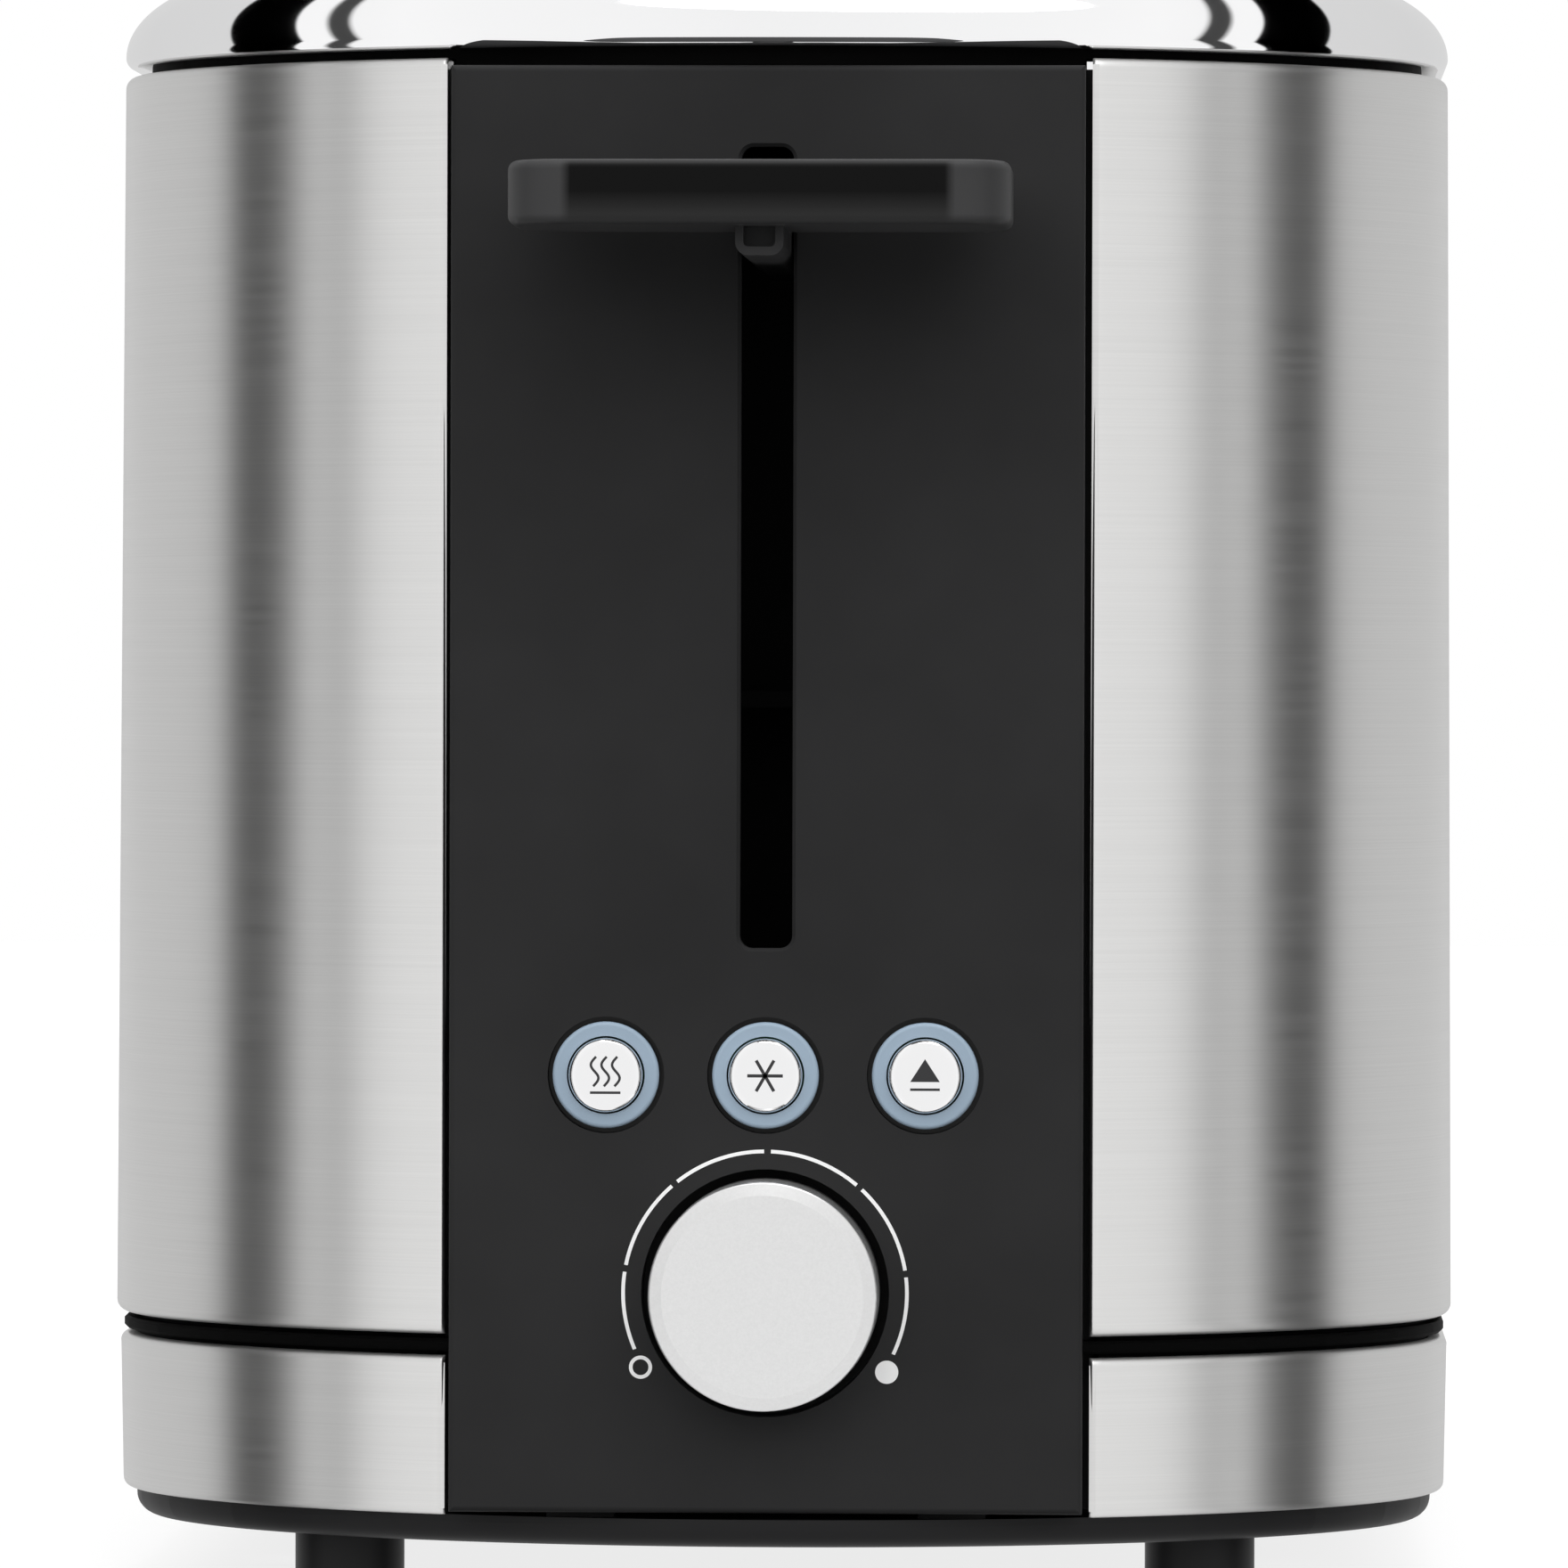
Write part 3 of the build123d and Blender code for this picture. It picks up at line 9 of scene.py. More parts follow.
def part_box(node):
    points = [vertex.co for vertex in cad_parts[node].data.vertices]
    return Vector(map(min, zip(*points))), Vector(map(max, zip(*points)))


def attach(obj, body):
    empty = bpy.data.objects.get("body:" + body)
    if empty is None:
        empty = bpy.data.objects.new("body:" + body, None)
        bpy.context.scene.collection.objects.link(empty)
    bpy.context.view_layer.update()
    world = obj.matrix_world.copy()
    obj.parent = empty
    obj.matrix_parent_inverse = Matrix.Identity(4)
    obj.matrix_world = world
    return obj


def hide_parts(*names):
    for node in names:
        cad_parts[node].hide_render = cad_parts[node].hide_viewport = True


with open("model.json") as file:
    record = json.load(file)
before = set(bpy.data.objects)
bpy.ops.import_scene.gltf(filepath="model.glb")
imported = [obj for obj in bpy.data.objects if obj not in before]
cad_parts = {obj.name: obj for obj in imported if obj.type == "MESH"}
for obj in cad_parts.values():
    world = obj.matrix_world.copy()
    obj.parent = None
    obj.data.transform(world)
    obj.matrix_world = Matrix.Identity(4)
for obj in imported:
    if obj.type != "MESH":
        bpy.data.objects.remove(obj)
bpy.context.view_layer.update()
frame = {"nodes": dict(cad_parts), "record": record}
nodes = frame["nodes"]

MM = 0.001

# Camera: about mid-height in front of the control end, a little to the right, with a long lens
CAMERA_PLACE = (0.052, -1.4306, 0.1115)
CAMERA_YAW = 0.0383
CAMERA_PITCH = 0.0106
CAMERA_ROLL = 0.0025
CAMERA_LENS = 253.83
SENSOR = 36.0
CAMERA_FAR = 20.0

# Studio: brightness of the surroundings by direction, in degrees from the front round to the rear
SURROUND = (
    (0.0, 0.95),
    (50.0, 1.0),
    (59.6, 0.98),
    (60.0, 0.06),
    (64.5, 0.06),
    (64.9, 1.0),
    (71.9, 1.0),
    (72.3, 0.0),
    (91.0, 0.0),
    (91.4, 0.72),
    (130.0, 0.7),
    (180.0, 0.7),
)
SCREEN_BEARING = 0.02
SCREEN_LEAN = 5.0

# Studio: strength of the light on dull surfaces by its direction's height, from -1 below to 1 overhead
LIGHT_RISE = ((-1.0, 0.3), (0.0, 0.45), (0.24, 1.6), (0.5, 2.4), (0.74, 2.1), (0.9, 0.9), (1.0, 0.5))

# Studio: floor and lamp, in metres and watts
FLOOR_GLOW = 0.82
FLOOR_GREY = 0.2
FLOOR_SIZE = 6.0
LAMP_PLACE = (0.2, -0.55, 2.0)
LAMP_TARGET = (0, 0, 0.1)
LAMP_SIZE = 1.4
LAMP_POWER = 12.0

# Steel and chrome shells, in millimetres: the plan that they follow and the sections swept round it
BASE_INSET = 2.5
END_AXIS = 58.66
END_STEPS = 80
SHEET = 0.8
PANEL_EDGE = 38.2
FOLD_ROUND = 0.6
FOLD_STEPS = 5
FOLD_DEPTH = 5.0
ROUND_STEPS = 8
SUPPORT = 0.3
CASING_LEAN = 0.84
CASING_ROUND = 1.4
CASING_TOP_LIP = 9.0
BAND_INSET = 0.5
BAND_LEAN = 0.35
BAND_ROUND = 1.0
BAND_FOOT_LIP = 4.5
SEAM_LIP = 2.0
TRAY_GAP = 0.3
COVER_DOME = 20.0
COVER_ROUND = 1.4
COVER_LIP = 3.6
DOME_STEPS = 28
SLOT_X = 28.0
SLOT_SHIFT = 6.0
SLOT_WIDTH = 31.0
SLOT_LENGTH = 142.0
SLOT_CORNER = 9.0
SLOT_DEPTH = 8.0
SLOT_ROUND = 2.4
SHARP_ANGLE = radians(40)
MERGE_GAP = 0.0001
HALVINGS = 40

# Painted shade on the front face of the lever's grip and on the flange of the light rings, in millimetres and
# as shades
FACE_HALF = 22.2
FACE_BLUR = 0.6
FACE_FOOT_PAINTED_SHADE = 0.03
FACE_TOP_PAINTED_SHADE = 0.0012
RING_SHADE_DEPTH = 0.5
RING_GAP_PAINTED_SHADE = 0.002

# Printed marks, in millimetres
PRINT_DEPTH = 0.04
SCALE_RADIUS = 16.75
SCALE_LINE = 0.43
SCALE_STOPS = (-114.3, -81.0, -40.6, 0.0, 40.6, 81.0, 114.3)
SCALE_GAP = 1.4
SCALE_TURN = 0.9
DOT_ANGLE = 121.8
DOT_PLACE = 17.1
DOT_RADIUS = 1.37
SYMBOL_LINE = 0.3
ARC_STEPS = 24
CIRCLE_STEPS = 36
WAVE_PLACES = (-1.25, 0.0, 1.25)
WAVE_SWING = 0.45
WAVE_TOP = 2.2
WAVE_HEIGHT = 3.5
WAVE_TURNS = 1.12
WAVE_START = 0.06
WAVE_STEPS = 24
HEAT_LINE_HALF = 1.8
HEAT_LINE_Z = -2.05
STAR_LINE = 0.38
STAR_REACH = 2.1
TRIANGLE_HALF = 1.75
TRIANGLE_TOP = 2.05
TRIANGLE_FOOT = -0.65
EJECT_LINE_Z = -1.55


class Paint:
    """One node-based material and the few kinds of node that these materials share."""

    def __init__(self, name):
        self.material = bpy.data.materials.new(name)
        self.material.use_nodes = True
        self.tree = self.material.node_tree
        self.shader = self.tree.nodes["Principled BSDF"]
        self.place = self.tree.nodes.new("ShaderNodeTexCoord").outputs["Object"]

    def node(self, kind, **settings):
        made = self.tree.nodes.new("ShaderNode" + kind)
        for key, value in settings.items():
            setattr(made, key, value)
        return made

    def link(self, output, socket):
        self.tree.links.new(output, socket)

    def scaled(self, x, y, z):
        """Position in the object, stretched by a factor for each axis."""
        mapping = self.node("Mapping")
        mapping.inputs["Scale"].default_value = (x, y, z)
        self.link(self.place, mapping.inputs["Vector"])
        return mapping.outputs["Vector"]

    def noise(self, vector, scale=1.0, detail=3.0, roughness=0.55):
        made = self.node("TexNoise")
        made.inputs["Scale"].default_value = scale
        made.inputs["Detail"].default_value = detail
        made.inputs["Roughness"].default_value = roughness
        self.link(vector, made.inputs["Vector"])
        return made.outputs["Fac"]

    def between(self, factor, low, high, start=0.3, end=0.7):
        """A number that goes from low to high as the factor goes from start to end."""
        made = self.node("MapRange")
        made.inputs["From Min"].default_value = start
        made.inputs["From Max"].default_value = end
        made.inputs["To Min"].default_value = low
        made.inputs["To Max"].default_value = high
        self.link(factor, made.inputs["Value"])
        return made.outputs["Result"]

    def colour(self, factor, first, second, start=0.3, end=0.7):
        """A colour that goes from first to second as the factor goes from start to end."""
        ramp = self.node("ValToRGB")
        ramp.color_ramp.elements[0].position = start
        ramp.color_ramp.elements[0].color = (*first, 1.0)
        ramp.color_ramp.elements[1].position = end
        ramp.color_ramp.elements[1].color = (*second, 1.0)
        self.link(factor, ramp.inputs["Fac"])
        self.link(ramp.outputs["Color"], self.shader.inputs["Base Color"])

    def roughness(self, factor, low, high):
        self.link(self.between(factor, low, high), self.shader.inputs["Roughness"])

    def bump(self, height, strength, distance):
        made = self.node("Bump")
        made.inputs["Strength"].default_value = strength
        made.inputs["Distance"].default_value = distance
        self.link(height, made.inputs["Height"])
        self.link(made.outputs["Normal"], self.shader.inputs["Normal"])

    def set(self, **values):
        for key, value in values.items():
            self.shader.inputs[key.replace("_", " ")].default_value = value


def shade(colour, factor):
    """A colour made darker or lighter."""
    return tuple(c * factor for c in colour)


def brushed(name, colour, rough, lines, across):
    """Metal with fine lines; lines holds how dense they are along each axis."""
    paint = Paint(name)
    streaks = paint.noise(paint.scaled(*lines), detail=4.0, roughness=0.7)
    broad = paint.noise(paint.scaled(*across), detail=2.0)
    paint.colour(streaks, shade(colour, 0.96), shade(colour, 1.03))
    paint.roughness(broad, rough - 0.015, rough + 0.015)
    paint.bump(streaks, 0.04, 0.00001)
    paint.set(Metallic=1.0)
    return paint


def polished(name, colour, low, high):
    """Bright metal with faint smears in its gloss."""
    paint = Paint(name)
    smear = paint.noise(paint.scaled(40, 40, 40), detail=4.0)
    paint.colour(smear, shade(colour, 0.985), colour)
    paint.roughness(smear, low, high)
    paint.set(Metallic=1.0)
    return paint


def moulded(name, colour, rough, grain, depth, specular):
    """Moulded plastic or rubber with a fine surface grain."""
    paint = Paint(name)
    fine = paint.noise(paint.scaled(grain, grain, grain), detail=3.0)
    broad = paint.noise(paint.scaled(35, 35, 35), detail=3.0)
    paint.colour(broad, shade(colour, 0.88), shade(colour, 1.1))
    paint.roughness(broad, rough - 0.04, rough + 0.04)
    paint.bump(fine, 0.2, depth)
    paint.set(Specular_IOR_Level=specular)
    return paint


def casing_steel():
    paint = brushed("casing_steel", (0.72, 0.717, 0.71), 0.354, (12, 12, 5200), (30, 30, 900))
    tangent = paint.node("Tangent", direction_type="RADIAL", axis="Z")
    paint.link(tangent.outputs["Tangent"], paint.shader.inputs["Tangent"])
    paint.set(Anisotropic=0.83, Anisotropic_Rotation=0.25)
    return paint.material


def grip_plastic():
    """Satin plastic whose front face, between the rounded ends, carries painted shade, darker at its top than
    at its bottom.
    """
    low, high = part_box("lever_grip")
    paint = moulded("grip_plastic", (0.048, 0.048, 0.049), 0.4, 2400, 0.00003, 0.1)
    split = paint.node("SeparateXYZ")
    paint.link(paint.place, split.inputs["Vector"])
    side = paint.node("Math", operation="ABSOLUTE")
    paint.link(split.outputs["X"], side.inputs[0])
    edge = FACE_HALF * MM
    blur = FACE_BLUR * MM
    middle = paint.between(side.outputs["Value"], 1.0, 0.0, edge - blur, edge + blur)
    face = paint.between(split.outputs["Y"], 1.0, 0.0, low.y, low.y + blur)
    dark = paint.node("Math", operation="MULTIPLY")
    paint.link(middle, dark.inputs[0])
    paint.link(face, dark.inputs[1])
    middle_z = (low.z + high.z) / 2
    # Painted shade: the front face's colour darkens from its foot to the middle of its height and stays
    # darkest above.
    level = paint.between(split.outputs["Z"], FACE_FOOT_PAINTED_SHADE, FACE_TOP_PAINTED_SHADE, low.z, middle_z)
    mix = paint.node("Mix", data_type="RGBA")
    paint.link(dark.outputs["Value"], mix.inputs["Factor"])
    paint.link(paint.shader.inputs["Base Color"].links[0].from_socket, mix.inputs["A"])
    paint.link(level, mix.inputs["B"])
    paint.link(mix.outputs["Result"], paint.shader.inputs["Base Color"])
    return paint.material


def knob_silver():
    paint = brushed("knob_silver", (0.755, 0.755, 0.755), 0.36, (3000, 100, 3000), (60, 60, 60))
    return paint.material


def mica():
    paint = Paint("mica")
    flakes = paint.node("TexVoronoi")
    flakes.inputs["Scale"].default_value = 420.0
    paint.link(paint.place, flakes.inputs["Vector"])
    cloud = paint.noise(paint.scaled(70, 70, 70), detail=6.0)
    paint.colour(cloud, (0.48, 0.4, 0.27), (0.7, 0.64, 0.5))
    paint.link(paint.between(flakes.outputs["Distance"], 0.28, 0.5), paint.shader.inputs["Roughness"])
    paint.bump(flakes.outputs["Distance"], 0.15, 0.0001)
    return paint.material


def circuit_board():
    paint = Paint("circuit_board")
    tracks = paint.node("TexBrick")
    tracks.inputs["Scale"].default_value = 120.0
    tracks.inputs["Mortar Size"].default_value = 0.06
    paint.link(paint.place, tracks.inputs["Vector"])
    paint.colour(tracks.outputs["Fac"], (0.03, 0.2, 0.08), (0.07, 0.34, 0.15))
    paint.roughness(tracks.outputs["Fac"], 0.3, 0.42)
    return paint.material


def coil_copper():
    paint = Paint("coil_copper")
    turns = paint.node("TexWave", wave_type="BANDS", bands_direction="Z")
    turns.inputs["Scale"].default_value = 700.0
    turns.inputs["Distortion"].default_value = 0.4
    paint.link(paint.place, turns.inputs["Vector"])
    paint.colour(turns.outputs["Fac"], (0.35, 0.13, 0.05), (0.75, 0.36, 0.17), 0.1, 0.8)
    paint.bump(turns.outputs["Fac"], 0.5, 0.0002)
    paint.set(Metallic=1.0, Roughness=0.32)
    return paint.material


def light_ring():
    """Pale ring whose flange, behind the panel's face, is coloured black as painted shade in the gap round
    the ring.
    """
    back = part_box("light_ring_reheat")[0].y + RING_SHADE_DEPTH * MM
    paint = moulded("light_ring", (0.316, 0.41, 0.508), 0.38, 2500, 0.00001, 0.4)
    split = paint.node("SeparateXYZ")
    paint.link(paint.place, split.inputs["Vector"])
    # Painted shade: the flange behind the panel's face turns black, so the gap round the ring looks dark.
    gap_shade = paint.between(split.outputs["Y"], 0.0, 1.0, back, back + RING_SHADE_DEPTH * MM)
    mix = paint.node("Mix", data_type="RGBA")
    paint.link(gap_shade, mix.inputs["Factor"])
    paint.link(paint.shader.inputs["Base Color"].links[0].from_socket, mix.inputs["A"])
    mix.inputs["B"].default_value = (RING_GAP_PAINTED_SHADE, RING_GAP_PAINTED_SHADE, RING_GAP_PAINTED_SHADE, 1.0)
    paint.link(mix.outputs["Result"], paint.shader.inputs["Base Color"])
    return paint.material


def heating_wire():
    paint = brushed("heating_wire", (0.42, 0.38, 0.35), 0.42, (1500, 1500, 300), (90, 90, 90))
    return paint.material


MATERIALS = {
    "cover_chrome": polished("cover_chrome", (0.93, 0.93, 0.935), 0.025, 0.05).material,
    "casing_steel": casing_steel(),
    "panel_plastic": moulded("panel_plastic", (0.0265, 0.0265, 0.027), 0.5, 2600, 0.00002, 0.04).material,
    "base_plastic": moulded("base_plastic", (0.008, 0.008, 0.0085), 0.45, 2200, 0.00002, 0.2).material,
    "grip_plastic": grip_plastic(),
    "button_chrome": polished("button_chrome", (0.92, 0.92, 0.925), 0.06, 0.1).material,
    "light_ring": light_ring(),
    "knob_silver": knob_silver(),
    "rubber": moulded("rubber", (0.016, 0.016, 0.016), 0.75, 1800, 0.00006, 0.3).material,
    "chassis_steel": brushed("chassis_steel", (0.6, 0.61, 0.62), 0.34, (30, 30, 900), (40, 40, 40)).material,
    "dark_steel": moulded("dark_steel", (0.01, 0.01, 0.0105), 0.6, 1200, 0.00003, 0.15).material,
    "guard_wire": brushed("guard_wire", (0.76, 0.76, 0.77), 0.16, (60, 60, 900), (50, 50, 50)).material,
    "mica": mica(),
    "heating_wire": heating_wire(),
    "circuit_board": circuit_board(),
    "switch_plastic": moulded("switch_plastic", (0.03, 0.03, 0.032), 0.32, 1500, 0.00003, 0.5).material,
    "coil_copper": coil_copper(),
}
# Painted shade: a darker copy of the black plastic, for the neck ring and plinth ring that sit in shaded
# gaps.
PAINTED_SHADE_RING_BLACK = moulded("ring_painted_shade_black", (0.0015, 0.0015, 0.0015), 0.6, 1800, 0.00002, 0.03).material
INK_WHITE = moulded("ink_white", (0.9, 0.9, 0.9), 0.5, 1800, 0.00001, 0.3).material
INK_DARK = moulded("ink_dark", (0.03, 0.03, 0.032), 0.5, 1800, 0.00001, 0.3).material

for subpart in frame["record"]["subparts"]:
    mesh = nodes[subpart["node"]].data
    mesh.materials.clear()
    mesh.materials.append(MATERIALS[subpart["material_slot"]])
# The neck ring and plinth ring take the darker copy, as painted shade in their gaps.
for name in ("neck_ring", "plinth_ring"):
    nodes[name].data.materials[0] = PAINTED_SHADE_RING_BLACK


def plan_sizes():
    """Half width, half length of the straight sides and middle of the plan, from the base plate's box."""
    low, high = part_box("base_plate")
    half_width = high.x / MM + BASE_INSET
    half_length = (high.y - low.y) / 2 / MM + BASE_INSET
    return half_width, half_length - END_AXIS, (high.y + low.y) / 2 / MM


HALF_WIDTH, SIDE, MIDDLE_Y = plan_sizes()


def plan_point(turn, inset):
    """Point of the plan's right half, moved in by inset; the turn runs from -90 degrees, in front, to 90."""
    across = Vector((cos(turn) / HALF_WIDTH, sin(turn) / END_AXIS)).normalized()
    return HALF_WIDTH * cos(turn) - across.x * inset, END_AXIS * sin(turn) - across.y * inset


def turn_at(x, inset):
    """Turn at which the front of the plan, moved in by inset, is x away from the middle."""
    low, high = -pi / 2, 0.0
    for _ in range(HALVINGS):
        turn = (low + high) / 2
        if plan_point(turn, inset)[0] < x:
            low = turn
        else:
            high = turn
    return high


def plan_row(bm, start, inset, z):
    """Vertices round the right half of the plan from a turn at the front to the middle of the rear."""
    row = []
    for first, last, along in ((start, 0.0, -SIDE), (0.0, pi / 2, SIDE)):
        for step in range(END_STEPS + 1):
            x, y = plan_point(first + (last - first) * step / END_STEPS, inset)
            row.append(bm.verts.new((x, MIDDLE_Y + along + y, z)))
    return row


def fold_row(bm, inset, z, outer):
    """Vertices of the sheet's edge beside the panel, which is rounded on its outer face."""
    row = []
    for step in range(FOLD_STEPS):
        away = FOLD_ROUND * (1 - cos(pi / 2 * step / FOLD_STEPS))
        dip = FOLD_ROUND - sqrt(FOLD_ROUND**2 - (FOLD_ROUND - away) ** 2) if outer else 0.0
        x, y = plan_point(turn_at(PANEL_EDGE + away, inset + dip), inset + dip)
        row.append(bm.verts.new((x, MIDDLE_Y - SIDE + y, z)))
    return row


def bridge(bm, rows, closed):
    """Faces between neighbouring rows of vertices; a closed set of rows also joins the last to the first."""
    for first, second in zip(rows, rows[1:] + rows[:1] if closed else rows[1:]):
        for i in range(len(first) - 1):
            bm.faces.new((first[i], first[i + 1], second[i + 1], second[i]))


def quarter(steps):
    """Sine and cosine at even steps from 0 to 90 degrees."""
    return [(sin(pi / 2 * k / steps), cos(pi / 2 * k / steps)) for k in range(steps + 1)]


def wrap_section(z0, z1, inset_at, r, bottom_lip, top_lip):
    """Closed section of a steel wrap: inset, height, and whether the point is on the outer face."""
    points = [(bottom_lip + inset_at(z0), z0, True)]
    points += [(inset_at(z0) + r - r * s, z0 + r - r * c, True) for s, c in quarter(ROUND_STEPS)]
    points += [(inset_at(z), z, True) for z in (z0 + r + SUPPORT, z1 - r - SUPPORT)]
    points += [(inset_at(z1) + r - r * c, z1 - r + r * s, True) for s, c in quarter(ROUND_STEPS)]
    points += [(top_lip + inset_at(z1), z, z == z1) for z in (z1, z1 - SHEET)]
    points += [(SHEET + inset_at(z), z, False) for z in (z1 - SHEET, z0 + SHEET)]
    return points + [(bottom_lip + inset_at(z0), z0 + SHEET, False)]


def shell_piece(name, bm, node, material):
    """Finishes a right half drawn in millimetres: mirrors it, smooths it and puts it in a node's place."""
    bmesh.ops.mirror(bm, geom=bm.verts[:] + bm.edges[:] + bm.faces[:], axis="X", merge_dist=MERGE_GAP)
    bmesh.ops.recalc_face_normals(bm, faces=bm.faces[:])
    bmesh.ops.scale(bm, vec=(MM, MM, MM), verts=bm.verts[:])
    mesh = bpy.data.meshes.new(name)
    bm.to_mesh(mesh)
    bm.free()
    mesh.shade_smooth()
    mesh.set_sharp_from_angle(angle=SHARP_ANGLE)
    mesh.materials.append(material)
    piece = bpy.data.objects.new(name, mesh)
    bpy.context.scene.collection.objects.link(piece)
    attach(piece, "housing")
    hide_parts(node)
    return piece


def steel_wrap(name, node, lean_at, r, bottom_lip, top_lip):
    """Sheet wrap with rolled lips, its edges rounded and folded back beside the panel."""
    low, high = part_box(node)
    z0, z1 = low.z / MM, high.z / MM
    bm = bmesh.new()
    rows = []
    for inset, z, outer in wrap_section(z0, z1, lean_at(z0, z1), r, bottom_lip, top_lip):
        start = turn_at(PANEL_EDGE + FOLD_ROUND, inset)
        rows.append(fold_row(bm, inset, z, outer) + plan_row(bm, start, inset, z))
    bridge(bm, rows, closed=True)
    bm.faces.new([row[0] for row in rows])
    face_y = MIDDLE_Y - SIDE + plan_point(turn_at(PANEL_EDGE, SHEET), SHEET)[1]
    fold = bmesh.ops.create_cube(bm, size=1.0)["verts"]
    bmesh.ops.scale(bm, vec=(SHEET, FOLD_DEPTH, z1 - z0 - 2 * SHEET), verts=fold)
    place = (PANEL_EDGE + SHEET / 2, face_y + FOLD_DEPTH / 2, (z0 + z1) / 2)
    bmesh.ops.translate(bm, vec=place, verts=fold)
    piece = shell_piece(name, bm, node, MATERIALS["casing_steel"])
    return piece


def casing_lean(z0, z1):
    """Inset of the upper casing by height: it leans in towards its top."""
    return lambda z: CASING_LEAN * (z - z0) / (z1 - z0)


def band_lean(z0, z1):
    """Inset of the lower band by height: it leans in towards its foot."""
    return lambda z: BAND_INSET + BAND_LEAN * (z1 - z) / (z1 - z0)


def cut_box(piece, low, high):
    """Cuts a box, given in metres, out of a piece's mesh."""
    cutter_mesh = bpy.data.meshes.new("cutter")
    bm = bmesh.new()
    bmesh.ops.create_cube(bm, size=1.0)
    bmesh.ops.scale(bm, vec=high - low, verts=bm.verts[:])
    bmesh.ops.translate(bm, vec=(low + high) / 2, verts=bm.verts[:])
    bm.to_mesh(cutter_mesh)
    bm.free()
    cutter = bpy.data.objects.new("cutter", cutter_mesh)
    bpy.context.scene.collection.objects.link(cutter)
    cut = piece.modifiers.new("cut", "BOOLEAN")
    cut.operation = "DIFFERENCE"
    cut.solver = "EXACT"
    cut.object = cutter
    made = bpy.data.meshes.new_from_object(piece.evaluated_get(bpy.context.evaluated_depsgraph_get()))
    piece.modifiers.clear()
    made.shade_smooth()
    made.set_sharp_from_angle(angle=SHARP_ANGLE)
    piece.data = made
    bpy.data.objects.remove(cutter)


def cover_section(height):
    """Open section of the cover's rim from the underside of its flat top, out and round to its upper face."""
    r = COVER_ROUND
    rise = height - r
    inner = COVER_DOME - SHEET
    points = [(COVER_DOME - inner * s, r + (rise - SHEET) * c) for s, c in quarter(DOME_STEPS)]
    points += [(r - (r - SHEET) * c, r - (r - SHEET) * s) for s, c in quarter(ROUND_STEPS)[1:]]
    points += [(COVER_LIP, SHEET), (COVER_LIP, 0.0)]
    points += [(r - r * s, r - r * c) for s, c in quarter(ROUND_STEPS)]
    return points + [(COVER_DOME - COVER_DOME * c, r + rise * s) for s, c in quarter(DOME_STEPS)[1:]]


def slot_row(bm, grown, z):
    """Vertices round a bread slot's rounded rectangle, grown by a distance."""
    row = []
    corners = ((1, 1, 0), (-1, 1, 90), (-1, -1, 180), (1, -1, 270))
    for x_side, y_side, start in corners:
        x = SLOT_X + x_side * (SLOT_WIDTH / 2 - SLOT_CORNER)
        y = MIDDLE_Y + SLOT_SHIFT + y_side * (SLOT_LENGTH / 2 - SLOT_CORNER)
        for step in range(ROUND_STEPS + 1):
            turn = radians(start + 90 * step / ROUND_STEPS)
            reach = SLOT_CORNER + grown
            row.append(bm.verts.new((x + reach * cos(turn), y + reach * sin(turn), z)))
    return row + row[:1]


def slot_section():
    """Open section of a slot's rolled edge, from the underside of the top down and back up to its face."""
    r = SLOT_ROUND
    points = [(r - (r - SHEET) * s, (r - SHEET) * c - r) for s, c in quarter(ROUND_STEPS)]
    points += [(SHEET, -SLOT_DEPTH), (0.0, -SLOT_DEPTH)]
    return points + [(r - r * c, r * s - r) for s, c in quarter(ROUND_STEPS)]


def chrome_cover():
    """Cover with a domed rim, a flat top and two bread slots with rolled edges."""
    low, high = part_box("top_cover")
    z0, z1 = low.z / MM, high.z / MM
    bm = bmesh.new()
    rim = [plan_row(bm, -pi / 2, CASING_LEAN + inset, z0 + z) for inset, z in cover_section(z1 - z0)]
    bridge(bm, rim, closed=False)
    lip = [slot_row(bm, grown, z1 + z) for grown, z in slot_section()]
    bridge(bm, lip, closed=False)
    for level in (0, -1):
        outline = rim[level] + rim[level][:1]
        edges = [bm.edges.get(pair) or bm.edges.new(pair) for pair in zip(outline, outline[1:])]
        edges += [bm.edges.get(pair) for pair in zip(lip[level], lip[level][1:])]
        bmesh.ops.triangle_fill(bm, edges=edges, use_beauty=True)
    piece = shell_piece("chrome_cover", bm, "top_cover", MATERIALS["cover_chrome"])


steel_wrap("steel_casing", "upper_casing", casing_lean, CASING_ROUND, SEAM_LIP, CASING_TOP_LIP)
steel_band = steel_wrap("steel_band", "lower_band", band_lean, BAND_ROUND, BAND_FOOT_LIP, SEAM_LIP)
tray_low, tray_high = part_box("crumb_tray_front")
room = Vector((TRAY_GAP, TRAY_GAP, TRAY_GAP)) * MM
cut_box(steel_band, tray_low - room, tray_high + room)
chrome_cover()


def strip(bm, points, width, closed=False):
    """Flat line of the given width through points in X and Z, added to a mesh that lies in Y = 0."""
    count = len(points)
    pairs = []
    for i, (x, z) in enumerate(points):
        before = points[i - 1] if closed or i > 0 else points[i]
        after = points[(i + 1) % count] if closed or i < count - 1 else points[i]
        along = Vector((after[0] - before[0], after[1] - before[1])).normalized()
        side = Vector((-along.y, along.x)) * width / 2
        pairs.append((bm.verts.new((x - side.x, 0, z - side.y)), bm.verts.new((x + side.x, 0, z + side.y))))
    last = count if closed else count - 1
    for i in range(last):
        a, b = pairs[i], pairs[(i + 1) % count]
        bm.faces.new((a[0], b[0], b[1], a[1]))


def patch(bm, points):
    """Flat filled shape through points in X and Z."""
    bm.faces.new([bm.verts.new((x, 0, z)) for x, z in points])


